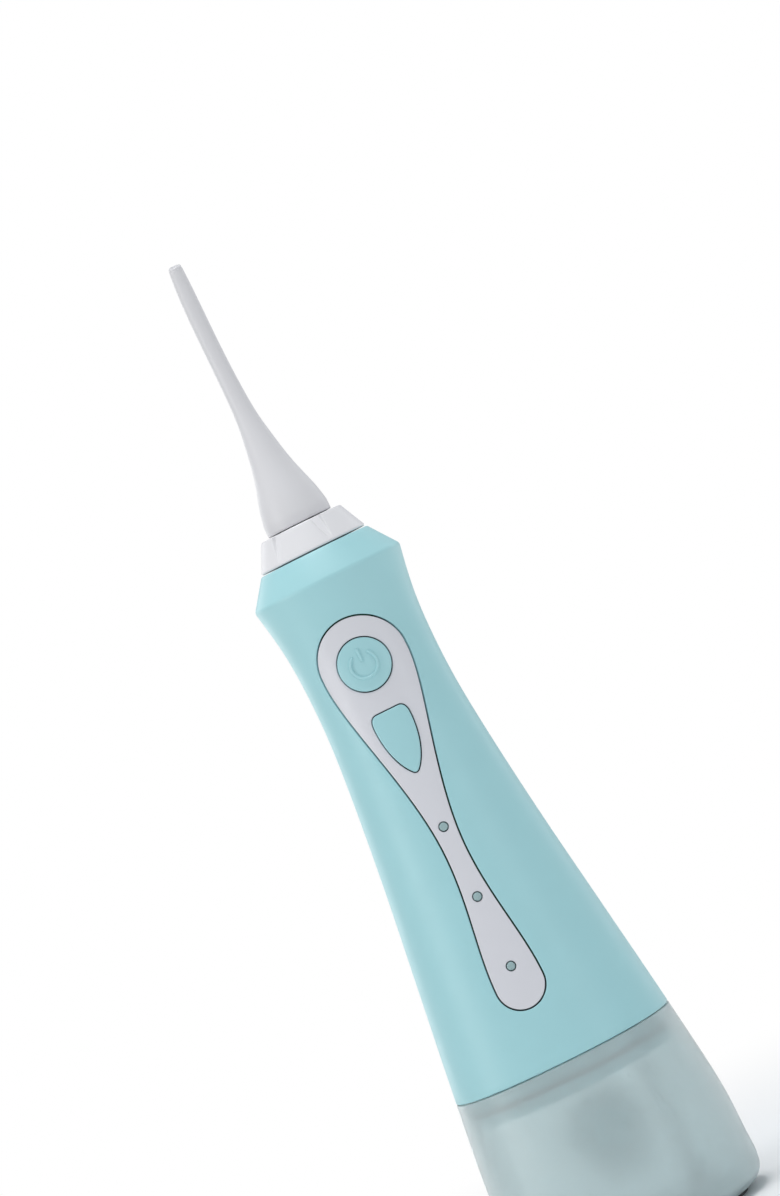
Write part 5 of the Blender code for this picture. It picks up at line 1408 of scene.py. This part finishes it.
def make_gears():
    """The pinion with eight straight teeth, and the face gear with its eccentric."""
    low, high = span("drive_pinion")
    root, tip = 1.65, high[0]
    points = []
    for k in range(PINION_TEETH):
        middle_angle = TURN * k / PINION_TEETH - math.pi / 2
        for radius, width in ((root, -1.05), (tip, -0.42), (tip, 0.42), (root, 1.05)):
            angle = middle_angle + width / radius / 2
            points.append((radius * math.cos(angle), MOTOR_Y + radius * math.sin(angle)))
    teeth = extruded(np.array(rounded_loop(points, 0.12, 3)), low[2], high[2], 0.1, "Z")
    bore = rod(1.2, low[2] - 1, high[2] + 1, "Z", (0, MOTOR_Y, 0))
    stand_in("pinion", baked([teeth], [bore]), "drive_pinion")

    low, high = span("crank_gear")
    face, crest, radius, back = 3.9, high[1], 10.3, 1.9
    sides = GEAR_TEETH * 16
    angles = np.arange(sides) * TURN / sides
    # Distance from the middle of the nearest tooth, then the half-widths of a tooth's foot and crest.
    off = abs((angles * GEAR_TEETH / TURN + 0.5) % 1 - 0.5) * TURN / GEAR_TEETH * 9.6
    tooth_foot, tooth_crest = 0.475, 0.21
    rise = (crest - face) * np.clip((tooth_foot - off) / (tooth_foot - tooth_crest), 0, 1)
    turn = angles - math.pi / 2 + math.pi / GEAR_TEETH

    def ring(r, y):
        return np.column_stack((r * np.cos(turn), np.zeros(sides) + y, CRANK_Z + r * np.sin(turn)))

    rings = [[(0, back, CRANK_Z)], ring(radius - 0.3, back), ring(radius - 0.1, back + 0.08)]
    rings += [ring(radius, back + 0.3), ring(radius, face - 0.12), ring(radius - 0.12, face)]
    rings += [ring(radius - 0.2, face + rise), ring(radius - 1.4, face + rise), ring(radius - 1.55, face)]
    rings += [[(0, face, CRANK_Z)]]
    lobe = rod(4.6, low[1], back + 0.7, centre=(0, 0, ECCENTRIC_Z), fillet=0.25, sides=96)
    bore = rod(1.5, -5.0, 8.0, centre=(0, 0, CRANK_Z))
    stand_in("face_gear", baked([skin(rings), lobe], [bore]), "crank_gear", 30)


def make_pump():
    """The connecting rod, the piston with its fork, and the cylinder with its inlet and ears."""
    ring = spun(((4.85, -1.5), (6.6, -1.5), (6.6, 1.5), (4.85, 1.5)), "Y", (0, 0, ECCENTRIC_Z), 96, 0.3)
    bar = slab((-1.2, -1.2, ECCENTRIC_Z + 5.6), (1.2, 1.2, WRIST_Z), 0.3)
    eye = rod(1.8, -1.3, 1.3, centre=(0, 0, WRIST_Z), fillet=0.25)
    stand_in("link", baked([ring, bar, eye], [rod(1.0, -3.0, 3.0, centre=(0, 0, WRIST_Z))]), "con_rod")

    low, high = span("piston")
    foot = 172.4
    body, groove, groove_low, groove_high = 3.9, 2.8, 174.3, 175.9
    profile = ((0, foot), (body, foot), (body, groove_low), (groove, groove_low))
    profile += ((groove, groove_high), (body, groove_high), (body, high[2]), (0, high[2]))
    cheeks = [slab((-2.0, y, low[2]), (2.0, y + 1.1, foot + 0.6), 0.3) for y in (-2.7, 1.6)]
    hole = rod(0.8, -4.0, 4.0, centre=(0, 0, WRIST_Z))
    stand_in("plunger", baked([spun(profile, "Z", (0, 0, 0), 96, 0.2)] + cheeks, [hole]), "piston")

    low, high = span("pump_cylinder")
    roof = high[2] - 1.0
    profile = ((4.3, low[2]), (6.3, low[2]), (6.3, high[2]), (1.0, high[2]), (1.0, roof), (4.3, roof))
    inlet = (0, 0, PUMP_INLET_Z)
    solids = [spun(profile, "Z", (0, 0, 0), 128, 0.3), rod(2.3, 5.2, high[0], "X", inlet, 0.2)]
    holes = [rod(1.0, 3.0, 14.0, "X", inlet)]
    for side in (-1, 1):
        x = sorted((side * 3.4, side * 9.4))
        solids.append(slab((x[0], -6.7, 172.0), (x[1], -4.5, 178.0), 0.4))
        holes.append(rod(1.2, -9.0, -3.0, centre=(side * PUMP_SCREW[0], 0, PUMP_SCREW[1])))
    stand_in("cylinder", baked(solids, holes), "pump_cylinder")


def mouth_ring(inset, z):
    """A ring at any height with the section of the casing's lower end, drawn in by inset."""
    foot = CASING_RINGS[0][0]
    return oval(foot, inset, 160) * (1, 1, 0) + (0, 0, z)


def make_base():
    """The plate that closes the handle, with its skirt and its seal."""
    low, high = span("handle_base")
    bottom, top = 55.2, high[2]
    rows = [(3.2, bottom), (2.9, bottom + 0.3), (2.9, top - 0.3), (3.2, top)]
    cap = skin([[(0, 0, bottom)]] + [mouth_ring(inset, z) for inset, z in rows] + [[(0, 0, top)]])
    hole = rod(2.4, 50.0, 60.0, "Z", (*TUBE_FOOT, 0))
    foot = low[2]
    section = rectangle((3.7, foot), (5.5, 56.0), 0.4, 4)
    skirt = skin([mouth_ring(inset, z) for inset, z in section], closed=True)
    stand_in("closing_plate", baked([baked([cap], [hole]), skirt], []), "handle_base")
    around = np.arange(16) * TURN / 16
    seal = [mouth_ring(2.97 + 0.72 * math.cos(a), 50.0 + 0.6 * math.sin(a)) for a in around]
    stand_in("seal_ring", skin(seal, closed=True), "tank_seal")


# Places (x, y, z) that the hose passes on its way up past the cells and the motor.
TUBE_STOPS = (
    (18.0, 6.0, 58.0),
    (18.0, 6.0, 104.0),
    (17.3, 5.8, 111.0),
    (15.1, 5.0, 118.0),
    (14.4, 4.5, 124.0),
    (14.0, 2.5, 148.0),
    (13.6, 0.6, 166.0),
    (13.6, 0.0, 172.0),
)


def make_hose():
    """The clear hose from the reservoir's floor to the pump's inlet."""
    stops = np.array(TUBE_STOPS)
    foot = span("suction_tube")[0][2]
    bend = 2.4
    heights = np.linspace(stops[0, 2], stops[-1, 2], 72)
    across = [np.interp(heights, stops[:, 2], stops[:, k]) for k in (0, 1)]
    window = np.hanning(9) / np.hanning(9).sum()
    across = [np.convolve(np.pad(a, 4, mode="edge"), window, mode="valid") for a in across]
    path = [(*TUBE_FOOT, foot), (*TUBE_FOOT, 30.0)] + list(zip(*across, heights))
    turn_x = stops[-1, 0] - bend
    turn_y, turn_z = stops[-1, 1], PUMP_INLET_Z - bend
    path += [(turn_x + bend * math.cos(t), turn_y, turn_z + bend * math.sin(t)) for t in quarter(10)]
    outer = path_rings(path, 1.9, 40, (0, 1, 0))
    inner = path_rings(path, 1.2, 40, (0, 1, 0))
    stand_in("hose", skin(outer + inner[::-1], closed=True), "suction_tube")


def make_seam_lips():
    """A thin tongue behind each side seam of the casing."""
    section = ((0, -1.5), (0, 1.5), (0.6, 1.3), (0.6, -1.3))
    for name, side in (("left", -1), ("right", 1)):
        rings = []
        for z in np.linspace(58.0, 189.0, 60):
            reach = float(body_width(z)) - 1.9
            rings.append([(side * (reach - inset), y, z) for inset, y in section])
        points, faces = skin(rings)
        faces += [(0, 1, 2, 3), tuple(range(len(points) - 4, len(points)))]
        finished("seam_lip_" + name, points, faces, LOOKS["mint"], "handle", "mint_shell")


# ---------------------------------------------------------------- stage, light and camera


def floor():
    """A pale floor that fades to plain white. It goes down with the reservoir that stands on it."""
    half = 6.0
    mesh = bpy.data.meshes.new("floor")
    corners = [(-half, -half, 0), (half, -half, 0), (half, half, 0), (-half, half, 0)]
    mesh.from_pydata(corners, [], [(0, 1, 2, 3)])
    made = bpy.data.objects.new("floor", mesh)
    bpy.context.scene.collection.objects.link(made)
    made.location.z = -0.0002
    look = bpy.data.materials.new("pale_floor")
    look.use_nodes = True
    nodes, links = look.node_tree.nodes, look.node_tree.links
    shader = shader_of(look)
    shader.inputs["Base Color"].default_value = (0.86, 0.87, 0.88, 1)
    shader.inputs["Roughness"].default_value = 0.7
    glow = nodes.new("ShaderNodeEmission")
    glow.inputs["Color"].default_value = (1, 1, 1, 1)
    where = nodes.new("ShaderNodeTexCoord")
    distance = nodes.new("ShaderNodeVectorMath")
    distance.operation = "LENGTH"
    links.new(where.outputs["Object"], distance.inputs[0])
    fade = nodes.new("ShaderNodeMapRange")
    fade.interpolation_type = "SMOOTHSTEP"
    fade.inputs["From Min"].default_value = 0.06
    fade.inputs["From Max"].default_value = 0.34
    links.new(distance.outputs["Value"], fade.inputs["Value"])
    mix = nodes.new("ShaderNodeMixShader")
    links.new(fade.outputs["Result"], mix.inputs["Fac"])
    links.new(shader.outputs["BSDF"], mix.inputs[1])
    links.new(glow.outputs["Emission"], mix.inputs[2])
    links.new(mix.outputs["Shader"], nodes["Material Output"].inputs["Surface"])
    mesh.materials.append(look)
    tank = frame["bodies"]["tank"]
    made.parent = tank
    made.matrix_parent_inverse = tank.matrix_world.inverted()


def world():
    """White to the camera, a soft grey-white light to everything else."""
    made = bpy.data.worlds.new("studio")
    bpy.context.scene.world = made
    made.use_nodes = True
    nodes, links = made.node_tree.nodes, made.node_tree.links
    ambient = nodes["Background"]
    ambient.inputs["Color"].default_value = (0.93, 0.96, 1.0, 1)
    ambient.inputs["Strength"].default_value = 0.51
    plain = nodes.new("ShaderNodeBackground")
    plain.inputs["Color"].default_value = (1, 1, 1, 1)
    rays = nodes.new("ShaderNodeLightPath")
    mix = nodes.new("ShaderNodeMixShader")
    links.new(rays.outputs["Is Camera Ray"], mix.inputs["Fac"])
    links.new(ambient.outputs["Background"], mix.inputs[1])
    links.new(plain.outputs["Background"], mix.inputs[2])
    links.new(mix.outputs["Shader"], nodes["World Output"].inputs["Surface"])


def soft_light(name, place, size, power, colour):
    """A rectangular lamp, hidden from the camera, that faces the object."""
    data = bpy.data.lights.new(name, "AREA")
    data.shape = "RECTANGLE"
    data.size, data.size_y = size
    data.energy = power
    data.color = colour
    made = bpy.data.objects.new(name, data)
    made.location = place
    made.rotation_euler = (Vector(AIM) - Vector(place)).to_track_quat("-Z", "Y").to_euler()
    made.visible_camera = False
    bpy.context.scene.collection.objects.link(made)


# Name, place and size in metres, power in watts and colour.
LAMPS = (
    ("left_window", (-1.25, -0.65, 0.16), (0.6, 1.3), 7.3, (1.0, 0.99, 0.97)),
    ("right_window", (0.95, -1.05, 0.10), (0.5, 1.2), 2.8, (0.92, 0.97, 1.0)),
    ("overhead", (0.0, -0.12, 1.50), (0.6, 0.6), 11.0, (1.0, 1.0, 1.0)),
    ("back_left", (-0.9, 1.2, 0.3), (0.6, 1.2), 3.0, (1.0, 1.0, 1.0)),
    ("back_right", (1.0, 1.1, 0.3), (0.4, 1.2), 1.4, (0.95, 0.98, 1.0)),
)
AIM = (0, 0, 0.15)


def lights():
    for lamp in LAMPS:
        soft_light(*lamp)


def camera():
    """A long lens, level with the handle, a little to the right and rolled so that the tip leans left."""
    azimuth, roll = math.radians(4.0), math.radians(26.35)
    # In metres: how much the frame's long side takes in, and the point in its middle.
    frame_height = 0.3229
    side, height = 0.0128, 0.1853
    data = bpy.data.cameras.new("camera")
    data.lens = 150.0
    data.sensor_width = 36.0
    data.clip_start, data.clip_end = 0.05, 50.0
    back = Vector((math.sin(azimuth), -math.cos(azimuth), 0))
    right = Vector((math.cos(azimuth), math.sin(azimuth), 0))
    made = bpy.data.objects.new("camera", data)
    distance = data.lens / data.sensor_width * frame_height
    made.location = right * side + Vector((0, 0, height)) + back * distance
    level_turn = (-back).to_track_quat("-Z", "Y")
    made.rotation_mode = "QUATERNION"
    made.rotation_quaternion = Matrix.Rotation(-roll, 3, back).to_quaternion() @ level_turn
    bpy.context.scene.collection.objects.link(made)
    bpy.context.scene.camera = made


STEPS = (
    make_casing,
    make_panel,
    make_power_button,
    make_mode_button,
    make_lights,
    make_collar,
    make_nozzle,
    make_reservoir,
    make_foot_pad,
    make_filler_cap,
    make_port,
    make_turned,
    make_spring,
    make_clips,
    make_electronics,
    make_frame,
    make_motor,
    make_gears,
    make_pump,
    make_base,
    make_hose,
    make_seam_lips,
    floor,
    world,
    lights,
    camera,
)
for step in STEPS:
    step()
bpy.context.scene.view_settings.view_transform = "Standard"
